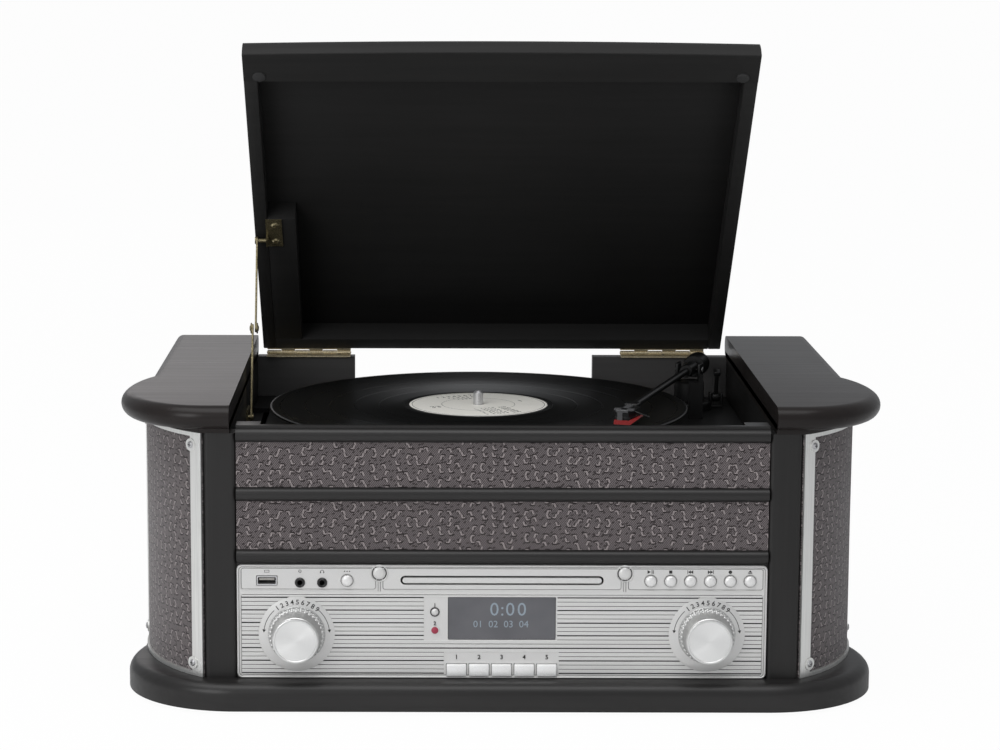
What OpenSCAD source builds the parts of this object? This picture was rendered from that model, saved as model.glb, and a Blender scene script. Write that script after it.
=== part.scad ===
// Stereo music centre with record deck, disc tray, radio panel and a hinged lid.
// Millimetres, +Z up, +Y to the back. The origin is on the table under the middle of the base.

/* [Base] */
// Height of the rubber feet below the base board
foot_h = 3; // [2:0.5:6]
// Diameter of a foot
foot_d = 22; // [14:1:28]
// Distance of the feet inside the sides of the base
foot_side = 41.4; // [35:0.2:90]
// Distance of the feet inside the front and the back of the base
foot_end = 50.5; // [35:0.5:80]
// Thickness of the base board
base_t = 18.5; // [14:0.5:24]
// Radius of the rounded upper edge of the base board
base_round = 8; // [4:0.5:10]
// Distance of the front of the base ahead of the fascia
base_step = 18; // [14:0.5:24]
// Distance of the widest point of the base outside the inner wall
base_out = 74.5; // [70:0.5:90]
// Step of the rear half of the base outside the side cabinets' caps
base_side = 3.9; // [0:0.1:6]
// Distance of the widest point of the base behind the fascia
base_lobe_in = 60.5; // [50:0.5:75]
// Width of the curve of a round end
base_lobe_a = 78; // [60:1:90]
// Length of the rear curve of a round end
base_lobe_rear = 92; // [75:1:110]
// Distance of the rear walls inside the rear edge of the base
rear_in = 4; // [2:0.5:8]

/* [Cabinet] */
// Height of the side cabinets between the base board and the neck moulding
side_h = 167.6; // [164:0.2:176]
// Room between the record and the left inner wall, for the stay
stay_room = 17.9; // [14:0.1:30]
// Room between the record and the right inner wall, for the tonearm
arm_room = 45.1; // [42:0.1:60]
// Width of a side cabinet behind its round end
side_w = 64.4; // [58:0.2:70]
// Thickness of the cabinet boards
wall = 8; // [6:0.5:10]
// Height of the neck moulding under a cap
neck_h = 2.5; // [1.5:0.5:4]
// Step of the neck moulding behind the front and rear edges of the cap
neck_in = 6; // [4:0.5:9]
// Step of the neck moulding outside the grille
neck_out = 3; // [2:0.5:5]
// Thickness of a cap, which is rounded over its whole edge
cap_t = 16; // [12:0.5:20]
// Distance of the widest point of a cap outside the inner wall
cap_out = 78.5; // [74:0.5:90]
// Overhang of the caps ahead of the fascia
cap_over = 6.5; // [3:0.5:12]
// Width of the curve of a cap
cap_lobe_a = 62; // [50:1:72]
// Length of the front curve of a cap
cap_lobe_front = 76; // [70:1:84]
// Length of the rear curve of a cap
cap_lobe_rear = 95; // [80:1:110]

/* [Side grilles] */
// Distance of the outside of the grille outside the inner wall
grille_out = 64.5; // [60:0.5:68]
// Width of the grille's elliptical curve
grille_a = 96.5; // [84:0.5:104]
// Length of the grille's elliptical curve
grille_b = 118.5; // [105:0.5:130]
// Distance of the end of the curve behind the fascia
grille_in = 102.5; // [92:0.5:112]
// Distance of the rear end of the grille behind the fascia
grille_end = 114.5; // [112:0.5:145]
// Thickness of the cloth and its mesh
grille_t = 1.6; // [1:0.1:2.5]
// Thickness of the silver trim over the grille
trim_t = 1.4; // [0.8:0.1:2.5]
// Width of the upright strips of the trim, along the curve
trim_w = 9.5; // [7:0.5:12]
// Height of the top and bottom bands of the trim
trim_band = 3; // [2:0.5:5]
// Diameter of the screw tabs of the trim
tab_d = 8.5; // [6:0.5:11]
// Distance of the screw tabs from the ends of the trim
tab_in = 9; // [7:0.5:14]

/* [Front] */
// Gap between the record and the front board
record_gap = 2; // [1:0.5:10]
// Width of a post
post_w = 21.5; // [18:0.5:26]
// Depth of a post
post_d = 16.5; // [12:0.5:22]
// Step of the posts inside the inner walls
bay_in = 4; // [2:0.5:8]
// Thickness of the front board
front_board_t = 4; // [3:0.5:5]
// Height of the front board over the side cabinets
front_up = 4.9; // [3:0.1:7]
// Radius of the half-round rails
rail_r = 4.65; // [3.5:0.05:5.5]
// Distance of the top rail below the top of the front board
rail_top_in = 6.5; // [5:0.5:12]
// Height of the middle of the middle rail over the base board
rail_mid_z = 126; // [120:0.5:132]
// Distance of the bottom rail over the fascia
rail_low_up = 5.6; // [5.2:0.1:10]
// Thickness of the cloth panels between the rails
cloth_t = 1.3; // [0.8:0.1:2]

/* [Fascia] */
// Thickness of the fascia
fascia_t = 1.9; // [1.2:0.1:3]
// Height of the fascia
fascia_h = 78; // [76:0.5:78.5]
// Distance of the row of sockets and buttons below the top of the fascia
row_in = 10.6; // [9:0.2:14]
// Height of the knobs over the base board
knob_z = 30.5; // [28:0.5:34]
// Distance of the knobs from the ends of the fascia
knob_in = 40.2; // [36:0.2:48]
// Diameter of the skirt of a knob
knob_d = 36.8; // [28:0.2:44]
// Diameter of the face of a knob
knob_face_d = 30.5; // [22:0.5:34]
// Length of a knob in front of the fascia
knob_l = 20; // [10:0.5:24]
// Diameter of the raised dial around a knob
dial_d = 51.3; // [46:0.1:56]
// Diameter of a push button
button_d = 8; // [5:0.5:10]
// Length of a push button in front of the fascia
button_l = 3.2; // [2:0.1:5]
// Distance of the last of six push buttons from the end of the fascia
buttons_in = 11.8; // [8:0.2:16]
// Spacing of the six push buttons
buttons_pitch = 13.32; // [11:0.02:14]
// Distance of the single push button from the end of the fascia
function_in = 74.1; // [70:0.1:78]
// Travel of buttons and keys
button_travel = 0.8; // [0.4:0.1:1.5]
// Width of a key
key_w = 13.4; // [10:0.2:14.4]
// Height of a key
key_h = 8.2; // [6:0.2:9]
// Spacing of the five keys
key_pitch = 15.2; // [15:0.1:17]
// Height of the middle of the keys over the base board
key_z = 5.9; // [5.2:0.1:8]
// Width of the display
display_w = 72.6; // [60:0.2:76]
// Height of the display
display_h = 29.6; // [24:0.2:32]
// Height of the middle of the display over the base board
display_z = 41.4; // [36:0.2:44]
// Width of the disc slot
slot_w = 136.3; // [130:0.1:140]
// Height of the disc slot
slot_h = 6.2; // [5:0.1:8]
// Length of travel of the disc tray
tray_travel = 130; // [100:1:132]
// Bore of the two round sockets
jack_bore_d = 3.6; // [3.5:0.05:3.8]
// Depth of the two round sockets
jack_depth = 14; // [10:0.5:16]

/* [Record deck] */
// Depth of the deck below the top of the front board
deck_in = 33; // [30:0.5:42]
// Thickness of the deck
deck_t = 3; // [2:0.5:4]
// Distance of the spindle behind the middle
spindle_y = 1; // [0:0.2:2]
// Diameter of the spindle
spindle_d = 7.15; // [7:0.05:7.25]
// Height of the spindle over the record
spindle_up = 10; // [6:0.5:12]
// Running clearance of shafts in their bushes, on the radius
shaft_gap = 0.05; // [0.02:0.01:0.1]
// Diameter of the platter
platter_d = 198; // [180:1:220]
// Height of the platter's top over the deck
platter_h = 19.1; // [16:0.1:22]
// Thickness of the platter's top
platter_t = 4; // [3:0.5:6]
// Diameter of the drive rim below the platter
rim_d = 120; // [100:1:140]
// Diameter of the groove of the motor pulley
pulley_d = 8; // [6:0.5:12]
// Distance between the spindle and the motor shaft
motor_far = 80; // [72:1:88]
// Diameter of the motor can
motor_d = 32; // [24:1:38]
// Height of the motor can
motor_h = 24; // [18:1:30]
// Diameter of the record
record_d = 301; // [299:0.5:302]
// Thickness of the record
record_t = 1.8; // [1.4:0.1:2.4]
// Diameter of the label
label_d = 100; // [95:1:105]

/* [Tonearm] */
// Distance of the arm's pivot inside the right inner wall
pivot_in = 34; // [32:0.5:38]
// Distance of the arm's pivot behind the spindle
pivot_back = 104; // [99:0.5:107]
// Length from the pivot to the stylus
arm_len = 204; // [200:0.5:206]
// Direction of the arm at rest, anticlockwise from the right
arm_dir = -108.2; // [-110:0.1:-106]
// Height of the arm over the record
arm_up = 9.5; // [8.5:0.5:12]
// Diameter of the arm's tube
tube_d = 5; // [4:0.5:6.5]
// Turn of the arm from where it plays to its rest
rest_turn = 18.2; // [16:0.1:19]

/* [Lid] */
// Gap between the lid and the inner wall on each side
lid_side_gap = 4.1; // [3.5:0.1:7]
// Overhang of the ends of the lid's front edge ahead of the fascia
lid_over = 8.3; // [6:0.1:14]
// Thickness of the whole lid
lid_t = 21; // [18:0.5:26]
// Thickness of the top board of the lid
lid_board = 5; // [4:0.5:7]
// Width of the side boards of the lid
lid_side = 9.5; // [7:0.5:14]
// Width of the rear board of the lid
lid_rear = 12; // [9:0.5:16]
// Width of the front board of the lid
lid_front = 27; // [22:0.5:32]
// Radius of the rounded front of the lid
lid_round = 18; // [10:0.5:20]
// Bow of the front edge of the lid
lid_bow = 2.5; // [0:0.5:4]
// Angle by which the lid is open
lid_open = 45.56; // [30:0.01:60]
// Gap between the closed lid and the front board
lid_gap = 1.6; // [1.2:0.1:3]
// Width of the block inside the lid that carries the stay
block_w = 21; // [16:0.5:24]
// Length of that block
block_l = 146; // [138:1:160]

/* [Hinges and stay] */
// Radius of a hinge barrel
barrel_r = 1.7; // [1.5:0.1:2]
// Radius of a hinge pin
pin_r = 0.8; // [0.6:0.1:1]
// Length of a hinge
hinge_l = 65; // [60:1:70]
// Thickness of the hinge leaves
leaf_t = 1.1; // [0.8:0.1:1.3]
// Reach of a hinge leaf from its pin
leaf_w = 13; // [11:0.5:15]
// Distance of the hinge pins inside the rear walls
hinge_in = 1.3; // [0.5:0.1:2]
// Step of the hinge rail below the top of the front board
hinge_step = 2; // [1.5:0.1:3.5]
// Thickness of the hinge rail
hinge_rail_t = 11; // [10:0.5:14]
// Distance of the rear edge of the closed lid ahead of the hinge pins
lid_edge = 2.4; // [2.2:0.1:2.8]
// Distance of the stay's lower pivot ahead of the hinge pins
stay_far = 146.2; // [142:0.2:150]
// Height of the stay's lower pivot over the deck
stay_up = 7; // [6:0.5:9]
// Distance of the stay's upper pivot from the rear edge of the lid
stay_u = 137.5; // [132:0.1:140]
// Distance of the stay's upper pivot below the closed lid's rim
stay_drop = 3.8; // [3.6:0.1:5]
// Width of a stay arm
arm_w = 6; // [5:0.5:7]
// Thickness of a stay arm
arm_t = 1.2; // [0.8:0.1:1.6]

/* [Hidden] */

$fn = 64;
eps = 0.01;
fit = 0.15;                                  // gap between boards and panels that slot in
record_r = record_d / 2;
well_half = (record_d + stay_room + arm_room) / 2;   // the record sets the width of the well
spindle_x = well_half - stay_room - record_r;
bay_half = well_half - bay_in;
rear_half_w = well_half + side_w;
base_half_w = rear_half_w + base_side;
base_reach = well_half + base_out;
cap_reach = well_half + cap_out;
grille_reach = well_half + grille_out;
front_y = record_r - spindle_y + record_gap + front_board_t + 0.1 + fascia_t;
half_depth = front_y + base_step;
base_lobe_y = front_y - base_lobe_in;
cap_lobe_y = front_y + cap_over - cap_lobe_front;
grille_y = front_y - grille_in;
grille_back = front_y - grille_end;
front_board_h = side_h + front_up;
deck_z = front_board_h - deck_in;
hinge_rail_h = front_board_h - hinge_step;
rail_top_z = front_board_h - rail_top_in;
rail_low_z = fascia_h + rail_low_up;
row_z = fascia_h - row_in;
knob_x = bay_half - knob_in;
buttons_x = bay_half - buttons_in - 5 * buttons_pitch;
function_x = bay_half - function_in;
pivot_x = well_half - pivot_in;
pivot_y = spindle_y + pivot_back;
lid_w = 2 * (well_half - lid_side_gap);
floor_z = foot_h + base_t;                   // top of the base board
neck_z = floor_z + side_h;
cap_z = neck_z + neck_h;
cap_r = cap_t / 2;
board_y = -front_y + fascia_t + 0.1;         // front face of the front board
board_back_y = board_y + front_board_t;
front_top_z = floor_z + front_board_h;
fascia_back_y = -front_y + fascia_t;
back_y = half_depth - rear_in;               // outside of the rear walls
rail_front = back_y - hinge_rail_t;
hinge_y = back_y - hinge_in;
stay_y = hinge_y - stay_far;
step = 7.5;                                  // angle between the points of a curve
black = [0.10, 0.095, 0.09];
satin = [0.16, 0.155, 0.15];
silver = [0.78, 0.78, 0.77];
cloth = [0.42, 0.39, 0.39];
brass = [0.62, 0.52, 0.30];
plastic = [0.07, 0.07, 0.07];
steel = [0.72, 0.72, 0.74];

module mirrored_x() {
    children();
    mirror([1, 0, 0]) children();
}

// Convex round end of a cap or base half: a front and a rear quarter of two ellipses.
function lobe(grow, inner, reach, cy, a, front, rear, edge) =
    let (cx = reach - a, last = acos((edge + grow - cx) / (a + grow)), n = ceil(last / step))
    concat([[inner, -cy - front - grow]],
           [for (t = [-90:step:0]) [cx + (a + grow) * cos(t), -cy + (front + grow) * sin(t)]],
           [for (i = [1:n]) [cx + (a + grow) * cos(i * last / n),
                             -cy + (rear + grow) * sin(i * last / n)]],
           [[inner, -cy + (rear + grow) * sin(last)]]);
function lobe_end(reach, cy, a, rear, edge) = -cy + rear * sin(acos((edge - reach + a) / a));

// A thin slice at height z of the outline that shrinks by inset.
module slice(z, outline) {
    translate([0, 0, z]) linear_extrude(eps) polygon(outline);
}
function bar(inner, edge, front, back) =
    [[inner, front], [edge, front], [edge, back], [inner, back]];

// ---------------------------------------------------------------- base and cabinet
base_front = half_depth - base_lobe_y;
function base_profile() =
    concat([[0, 0], [base_t - base_round, 0]],
           [for (t = [22.5:22.5:90])
            [base_t - base_round + base_round * sin(t) - (t == 90 ? eps : 0),
             base_round * (1 - cos(t))]]);
function both_sides(points) =
    concat(points, [for (i = [len(points) - 1:-1:0]) [-points[i][0], points[i][1]]]);
module base_board() {
    inner = base_reach - base_lobe_a;
    end = lobe_end(base_reach, base_lobe_y, base_lobe_a, base_lobe_rear, base_half_w);
    color(black) {
        hull()
            for (p = base_profile())
                slice(foot_h + p[0],
                      both_sides(lobe(-p[1], inner, base_reach, base_lobe_y, base_lobe_a,
                                      base_front, base_lobe_rear, base_half_w)));
        hull()
            for (p = base_profile())
                slice(foot_h + p[0], bar(p[1] - base_half_w, base_half_w - p[1],
                                         end - base_lobe_a / 2, half_depth));
    }
}
module feet() {
    color(plastic)
        for (x = [-1, 1], y = [-1, 1])
            translate([x * (rear_half_w - foot_side), y * (half_depth - foot_end), 0]) difference() {
                cylinder(d = foot_d, h = foot_h);
                translate([0, 0, -eps]) cylinder(d = foot_d / 3, h = foot_h / 2);
            }
}
// Outline of the neck moulding, which follows the grille a step outside it.
function neck_outline() =
    let (front = front_y + cap_over - neck_in, side = rear_half_w - neck_in,
         a1 = -asin((front - grille_y) / (grille_b + neck_out)))
    concat([[well_half, -front]], grille_curve(-neck_out, a1, 0),
           [[grille_reach + neck_out, -grille_back], [side, -grille_back],
            [side, half_depth - neck_in], [well_half, half_depth - neck_in]]);
cap_edges = [for (t = [-90:22.5:90])
             [cap_r + cap_r * sin(t) - (t == 90 ? eps : 0), cap_r * (1 - cos(t))]];
module cap_half() {
    end = lobe_end(cap_reach, cap_lobe_y, cap_lobe_a, cap_lobe_rear, rear_half_w);
    hull()
        for (p = cap_edges)
            slice(cap_z + p[0], lobe(-p[1], well_half, cap_reach, cap_lobe_y, cap_lobe_a,
                                     cap_lobe_front, cap_lobe_rear, rear_half_w));
    hull()
        for (p = cap_edges)
            slice(cap_z + p[0], bar(well_half, rear_half_w - p[1], end - cap_lobe_a / 2,
                                    half_depth));
    translate([0, 0, neck_z]) linear_extrude(neck_h + cap_r / 2) polygon(neck_outline());
}
module right_cap() {
    color(black) cap_half();
}
module left_cap() {
    color(black) mirror([1, 0, 0]) cap_half();
}

// Curve of the grille's outer face, moved inwards by inset, from angle a0 to a1.
grille_cx = grille_reach - grille_a;
post_edge = bay_half + post_w;
grille_a0 = -acos((post_edge + 0.3 - grille_cx) / (grille_a - grille_t));
function grille_curve(inset, a0, a1, n = 10) =
    [for (i = [0:n]) let (t = a0 + (a1 - a0) * i / n)
     [grille_cx + (grille_a - inset) * cos(t), -grille_y + (grille_b - inset) * sin(t)]];
function reverse(list) = [for (i = [len(list) - 1:-1:0]) list[i]];
function grille_band(out, in) =
    concat(grille_curve(-out, grille_a0, 0), [[grille_reach + out, -grille_back]],
           [[grille_reach - in, -grille_back]], reverse(grille_curve(in, grille_a0, 0)));
// Angle on the grille's curve after going the length s along it from its front end.
function curve_at(s, a = grille_a0) =
    s <= 0 ? a : curve_at(s - 0.5, a + 0.5 / norm([grille_a * sin(a), grille_b * cos(a)]) * 57.2958);

cabinet_in = grille_t + 0.3;
speaker_in = 26.5;
speaker_x = grille_reach - speaker_in;
speaker_y = 73.5 - front_y;
speaker_z = floor_z + side_h / 2;
baffle_turn = 73.5;
baffle_l = 110;
cone_d = 66;
module cabinet_board() {
    linear_extrude(wall)
        polygon(concat([[well_half, -front_y + post_d], [post_edge, -front_y + post_d]],
                       grille_curve(cabinet_in, grille_a0 + 8, 0),
                       [[grille_reach - cabinet_in, -grille_back],
                        [rear_half_w - neck_in, -grille_back], [rear_half_w - neck_in, back_y],
                        [well_half, back_y]]));
}
module at_speaker() {
    translate([speaker_x, speaker_y, speaker_z]) rotate([0, 0, baffle_turn]) rotate([90, 0, 0])
        children();
}
module cabinet_half() {
    side_x = rear_half_w - neck_in;
    difference() {
        union() {
            translate([0, 0, floor_z]) cabinet_board();
            translate([0, 0, neck_z - wall]) cabinet_board();
            translate([well_half, -front_y + post_d, floor_z])
                cube([wall, back_y + front_y - post_d, side_h]);
            translate([side_x - wall, -grille_back, floor_z])
                cube([wall, back_y + grille_back, side_h]);
            translate([well_half, back_y - wall, floor_z])
                cube([side_x - well_half, wall, side_h]);
            translate([speaker_x, speaker_y, floor_z]) rotate([0, 0, baffle_turn])
                translate([-baffle_l / 2, -wall / 2, 0]) cube([baffle_l, wall, side_h]);
            translate([well_half - wall, -front_y + post_d, floor_z + deck_z - deck_t - wall])
                cube([wall + 1, rail_front - fit + front_y - post_d - 2, wall - 0.1]);
        }
        at_speaker() cylinder(d = cone_d, h = 3 * wall, center = true);
    }
}
module right_cabinet() {
    color(black) cabinet_half();
}
module left_cabinet() {
    color(black) mirror([1, 0, 0]) cabinet_half();
}
module speaker() {
    depth = 23;
    flange = 3;
    front = wall / 2 + flange;
    difference() {
        translate([0, 0, wall / 2]) cylinder(d = cone_d + 11, h = flange);
        translate([0, 0, wall / 2 - eps]) cylinder(d1 = cone_d - 8, d2 = cone_d - 2, h = flange + 1);
    }
    difference() {
        translate([0, 0, front - depth]) cylinder(d1 = 40, d2 = cone_d - 1, h = depth - flange / 2);
        translate([0, 0, front - depth + 4]) cylinder(d1 = 16, d2 = cone_d - 3, h = depth);
    }
    translate([0, 0, front - depth + 3]) cylinder(d = 20, h = 5);
    translate([0, 0, front - depth - 4]) cylinder(d = 42, h = 4 + eps);
}
module speakers() {
    color(plastic) mirrored_x() at_speaker() speaker();
}
module right_grille() {
    color(cloth) grille_panel();
}
module left_grille() {
    color(cloth) mirror([1, 0, 0]) grille_panel();
}
module grille_panel() {
    translate([0, 0, floor_z + fit]) linear_extrude(side_h - 2 * fit)
        polygon(grille_band(0, grille_t));
}
// Places a child on the grille's face at angle t with its +Z along the outward normal.
module on_grille(t, z) {
    translate([grille_cx + grille_a * cos(t), -grille_y + grille_b * sin(t), z])
        rotate([0, 0, atan2(grille_a * sin(t), grille_b * cos(t))]) rotate([0, 90, 0]) children();
}
tab_front = curve_at(trim_w - 1);
tab_zs = [floor_z + tab_in, neck_z - tab_in];
tab_back_y = -grille_back - 7;
module grille_trim() {
    a1 = curve_at(trim_w);
    z0 = floor_z + fit;
    h = side_h - 2 * fit;
    for (z = [z0, z0 + h - trim_band])
        translate([0, 0, z]) linear_extrude(trim_band) polygon(grille_band(trim_t, 0));
    translate([0, 0, z0]) linear_extrude(h)
        polygon(concat(grille_curve(-trim_t, grille_a0, a1, 4),
                       reverse(grille_curve(0, grille_a0, a1, 4))));
    translate([grille_reach, -grille_back - trim_w, z0]) cube([trim_t, trim_w, h]);
    for (z = tab_zs) {
        on_grille(tab_front, z) translate([0, 0, 0.3]) cylinder(d = tab_d, h = trim_t + 0.3);
        translate([grille_reach, tab_back_y, z]) rotate([0, 90, 0])
            cylinder(d = tab_d, h = trim_t + 0.6);
    }
}
module grille_trims() {
    color(silver) mirrored_x() grille_trim();
}
module screw_head(d, h) {
    difference() {
        cylinder(d1 = d, d2 = d * 0.55, h = h);
        translate([0, 0, h - 0.3]) cube([d * 0.5, d * 0.14, 1], center = true);
        translate([0, 0, h - 0.3]) cube([d * 0.14, d * 0.5, 1], center = true);
    }
}
module trim_screws() {
    out = trim_t + 0.6;
    color(steel) mirrored_x() for (z = tab_zs) {
        on_grille(tab_front, z) translate([0, 0, out]) screw_head(tab_d * 0.55, 1);
        translate([grille_reach + out, tab_back_y, z]) rotate([0, 90, 0])
            screw_head(tab_d * 0.55, 1);
    }
}

// ---------------------------------------------------------------- front
module post() {
    r = 3;
    linear_extrude(side_h - fit) difference() {
        union() {
            translate([bay_half, -front_y + r]) square([post_w, post_d - r - fit]);
            translate([bay_half + r, -front_y]) square([post_w - 2 * r, r + 1]);
            for (x = [bay_half + r, post_edge - r]) translate([x, -front_y + r]) circle(r);
        }
    }
}
module front_posts() {
    color(satin) mirrored_x() translate([0, 0, floor_z]) post();
}
opening_z = [1, fascia_h - 3];
corner_w = 20;
corner_l = 11;
module front_board() {
    corner = corner_w - well_half + bay_half;
    color(black) difference() {
        union() {
            translate([-bay_half + fit, board_y, floor_z])
                cube([2 * (bay_half - fit), front_board_t, front_board_h]);
            for (side = [-1, 1])
                translate([side * (bay_half - fit - corner / 2) - corner / 2, board_y,
                           floor_z + deck_z])
                    cube([corner, front_board_t + corner_l, front_board_h - deck_z]);
        }
        translate([-bay_half + 5, board_y - 1, floor_z + opening_z[0]])
            cube([2 * (bay_half - 5), front_board_t + 2, opening_z[1] - opening_z[0]]);
    }
}
module rail() {
    translate([-bay_half + fit, board_y, 0]) rotate([0, 90, 0]) difference() {
        cylinder(r = rail_r, h = 2 * (bay_half - fit));
        translate([-rail_r - 1, 0, -1]) cube([2 * rail_r + 2, rail_r + 1, 2 * bay_half + 2]);
    }
}
module front_rails() {
    color(satin) for (z = [rail_low_z, rail_mid_z, rail_top_z]) translate([0, 0, floor_z + z])
        rail();
}
module cloth_panels() {
    color(cloth) for (pair = [[rail_low_z, rail_mid_z], [rail_mid_z, rail_top_z]])
        translate([-bay_half + fit, board_y - cloth_t, floor_z + pair[0] + rail_r + fit])
            cube([2 * (bay_half - fit), cloth_t, pair[1] - pair[0] - 2 * (rail_r + fit)]);
}

function button_xs() = [for (i = [0:5]) buttons_x + i * buttons_pitch];
jack_xs = [42.5 - bay_half, 57.4 - bay_half];
usb = [20.3 - bay_half, 14.2, 6.4];          // place, width and height of the flat socket
stud_x = slot_w / 2 + 14.15;
stud_z = floor_z + row_z + 5;
eye_x = -45;
eye_zs = [33.3, 45.9];
eye_d = 5;
row = floor_z + row_z;
dial_z = floor_z + knob_z;
dial_t = 0.6;
hole_gap = 0.3;
module front_hole(x, z, d, depth = 8) {
    translate([x, -front_y - 2, z]) rotate([-90, 0, 0]) cylinder(d = d, h = depth);
}
module front_slot(w, h, x, z, depth = 8) {
    translate([x - w / 2, -front_y - 2, z - h / 2]) cube([w, depth, h]);
}
module fascia() {
    half = bay_half - fit;
    band_z = fascia_h - 18.4;
    rim = 1.4;
    rim_t = 0.8;
    color(silver) difference() {
        union() {
            translate([-half, -front_y, floor_z + fit]) cube([2 * half, fascia_t, fascia_h - fit]);
            for (x = [-half, half - rim])
                translate([x, -front_y - rim_t, floor_z + fit])
                    cube([rim, rim_t + 1, fascia_h - fit]);
            for (z = [fit, band_z, fascia_h - rim])
                translate([-half, -front_y - rim_t, floor_z + z]) cube([2 * half, rim_t + 1, rim]);
            for (x = [-knob_x, knob_x]) translate([x, -front_y, dial_z]) rotate([90, 0, 0])
                cylinder(d = dial_d, h = dial_t);
            for (x = [-stud_x, stud_x]) translate([x, -front_y, stud_z]) rotate([90, 0, 0])
                cylinder(d = button_d, h = 1.6);
        }
        for (x = [-knob_x, knob_x]) front_hole(x, dial_z, 9);
        for (x = concat([-function_x], button_xs())) front_hole(x, row, button_d + 2 * hole_gap);
        for (x = jack_xs) front_hole(x, row - 1.5, jack_bore_d + 3);
        for (z = eye_zs) front_hole(eye_x, floor_z + z, eye_d + 0.2);
        front_slot(usb[1], usb[2], usb[0], row - 0.2);
        front_slot(display_w, display_h, 0, floor_z + display_z);
        front_slot(slot_w, slot_h, 0, row + 0.2);
        front_slot(4 * key_pitch + key_w + 2 * hole_gap, key_h + 2 * hole_gap, 0, floor_z + key_z);
    }
}
module display() {
    frame = 2;
    color([0.35, 0.37, 0.40]) {
        translate([-display_w / 2 + fit, -front_y + 0.6, floor_z + display_z - display_h / 2 + fit])
            cube([display_w - 2 * fit, 1.4, display_h - 2 * fit]);
        translate([-display_w / 2 - frame, fascia_back_y,
                   floor_z + display_z - display_h / 2 - frame])
            cube([display_w + 2 * frame, board_face_y - fascia_back_y - fit,
                  display_h + 2 * frame]);
    }
}
module knob(x) {
    skirt = 3;
    color(silver) translate([x, -front_y - dial_t - 0.3, dial_z]) rotate([90, 0, 0]) {
        difference() {
            union() {
                cylinder(d = knob_d, h = skirt);
                translate([0, 0, skirt]) cylinder(d1 = knob_d - 1, d2 = knob_face_d + 1,
                                                  h = knob_l - skirt - 1);
                translate([0, 0, knob_l - 1 - eps]) cylinder(d = knob_face_d, h = 1);
            }
            for (i = [0:35]) rotate([0, 0, i * 10]) translate([knob_d / 2 - 0.1, 0, -1])
                cylinder(d = 1.2, h = skirt + 2, $fn = 6);
        }
        translate([0, 0, -11]) cylinder(d = 6, h = 11 + eps);
    }
}
module volume_knob() {
    knob(-knob_x);
}
module tuning_knob() {
    knob(knob_x);
}
module button(x) {
    color(silver) translate([x, -front_y, row]) rotate([90, 0, 0]) {
        cylinder(d = button_d, h = button_l - 0.8);
        translate([0, 0, button_l - 0.8 - eps]) cylinder(d1 = button_d, d2 = button_d - 2, h = 0.8);
        translate([0, 0, -4]) cylinder(d = button_d - 2, h = 4 + eps);
        translate([0, 0, -4]) cylinder(d = button_d + 2, h = 1);
    }
}
module function_button() {
    button(-function_x);
}
module play_button() {
    button(button_xs()[0]);
}
module stop_button() {
    button(button_xs()[1]);
}
module back_button() {
    button(button_xs()[2]);
}
module skip_button() {
    button(button_xs()[3]);
}
module record_button() {
    button(button_xs()[4]);
}
module eject_button() {
    button(button_xs()[5]);
}
module key(i) {
    out = 2.2;
    color(silver) translate([(i - 2) * key_pitch, -front_y - out, floor_z + key_z]) {
        translate([-key_w / 2, 0.6, -key_h / 2]) cube([key_w, out + 3, key_h]);
        translate([-key_w / 2 + 0.6, 0, -key_h / 2 + 0.6]) cube([key_w - 1.2, 1, key_h - 1.2]);
    }
}
module key_1() {
    key(0);
}
module key_2() {
    key(1);
}
module key_3() {
    key(2);
}
module key_4() {
    key(3);
}
module key_5() {
    key(4);
}
module front_sockets() {
    usb_wall = 0.5;
    color(plastic) {
        for (x = jack_xs) translate([x, -front_y - 0.5, row - 1.5]) rotate([-90, 0, 0])
            difference() {
                union() {
                    cylinder(d = jack_bore_d + 2.6, h = jack_depth + 1);
                    translate([0, 0, fascia_t + 0.6]) cylinder(d = jack_bore_d + 6, h = 9);
                }
                translate([0, 0, -eps]) cylinder(d = jack_bore_d, h = jack_depth);
            }
        translate([usb[0], -front_y - 0.3, row - 0.2]) difference() {
            translate([-usb[1] / 2 + fit, 0, -usb[2] / 2 + fit])
                cube([usb[1] - 2 * fit, 14, usb[2] - 2 * fit]);
            translate([-usb[1] / 2 + fit + usb_wall, -1, -usb[2] / 2 + fit + usb_wall])
                cube([usb[1] - 2 * fit - 2 * usb_wall, 13, usb[2] - 2 * fit - 2 * usb_wall]);
        }
        translate([usb[0] - 5.5, -front_y + 1, row + 0.4]) cube([11, 13, 1.6]);
    }
}
board_face_y = board_back_y + 1.5;
board_in = 8;
board_low = 4;
module control_board() {
    t = 1.6;
    half = bay_half - board_in;
    color([0.12, 0.30, 0.16]) {
        difference() {
            translate([-half, board_face_y, floor_z + board_low])
                cube([2 * half, t, fascia_h - 3 * board_low]);
            translate([-drive_w / 2 - 1, board_face_y - 1, row - drive_low - 1])
                cube([drive_w + 2, t + 2, fascia_h]);
            for (x = [-knob_x, knob_x]) front_hole(x, dial_z, 10, 30);
            for (x = jack_xs) front_hole(x, row - 1.5, jack_bore_d + 7, 30);
            front_slot(usb[1] + 1, usb[2] + 1, usb[0], row - 0.2, 30);
        }
        for (x = concat([-function_x], button_xs())) translate([x - 3, fascia_back_y + 3.4, row - 3])
            cube([6, board_face_y - fascia_back_y - 3.4 + eps, 6]);
        for (x = [-knob_x, knob_x]) translate([x, board_face_y, dial_z]) rotate([-90, 0, 0])
            difference() {
                cylinder(d = 18, h = 8);
                translate([0, 0, -1]) cylinder(r = 3 + shaft_gap, h = 20);
            }
        for (z = eye_zs) translate([eye_x, -front_y - 0.4, floor_z + z]) rotate([-90, 0, 0])
            cylinder(d = eye_d, h = front_y + board_face_y + 0.4 + eps);
    }
}

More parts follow.
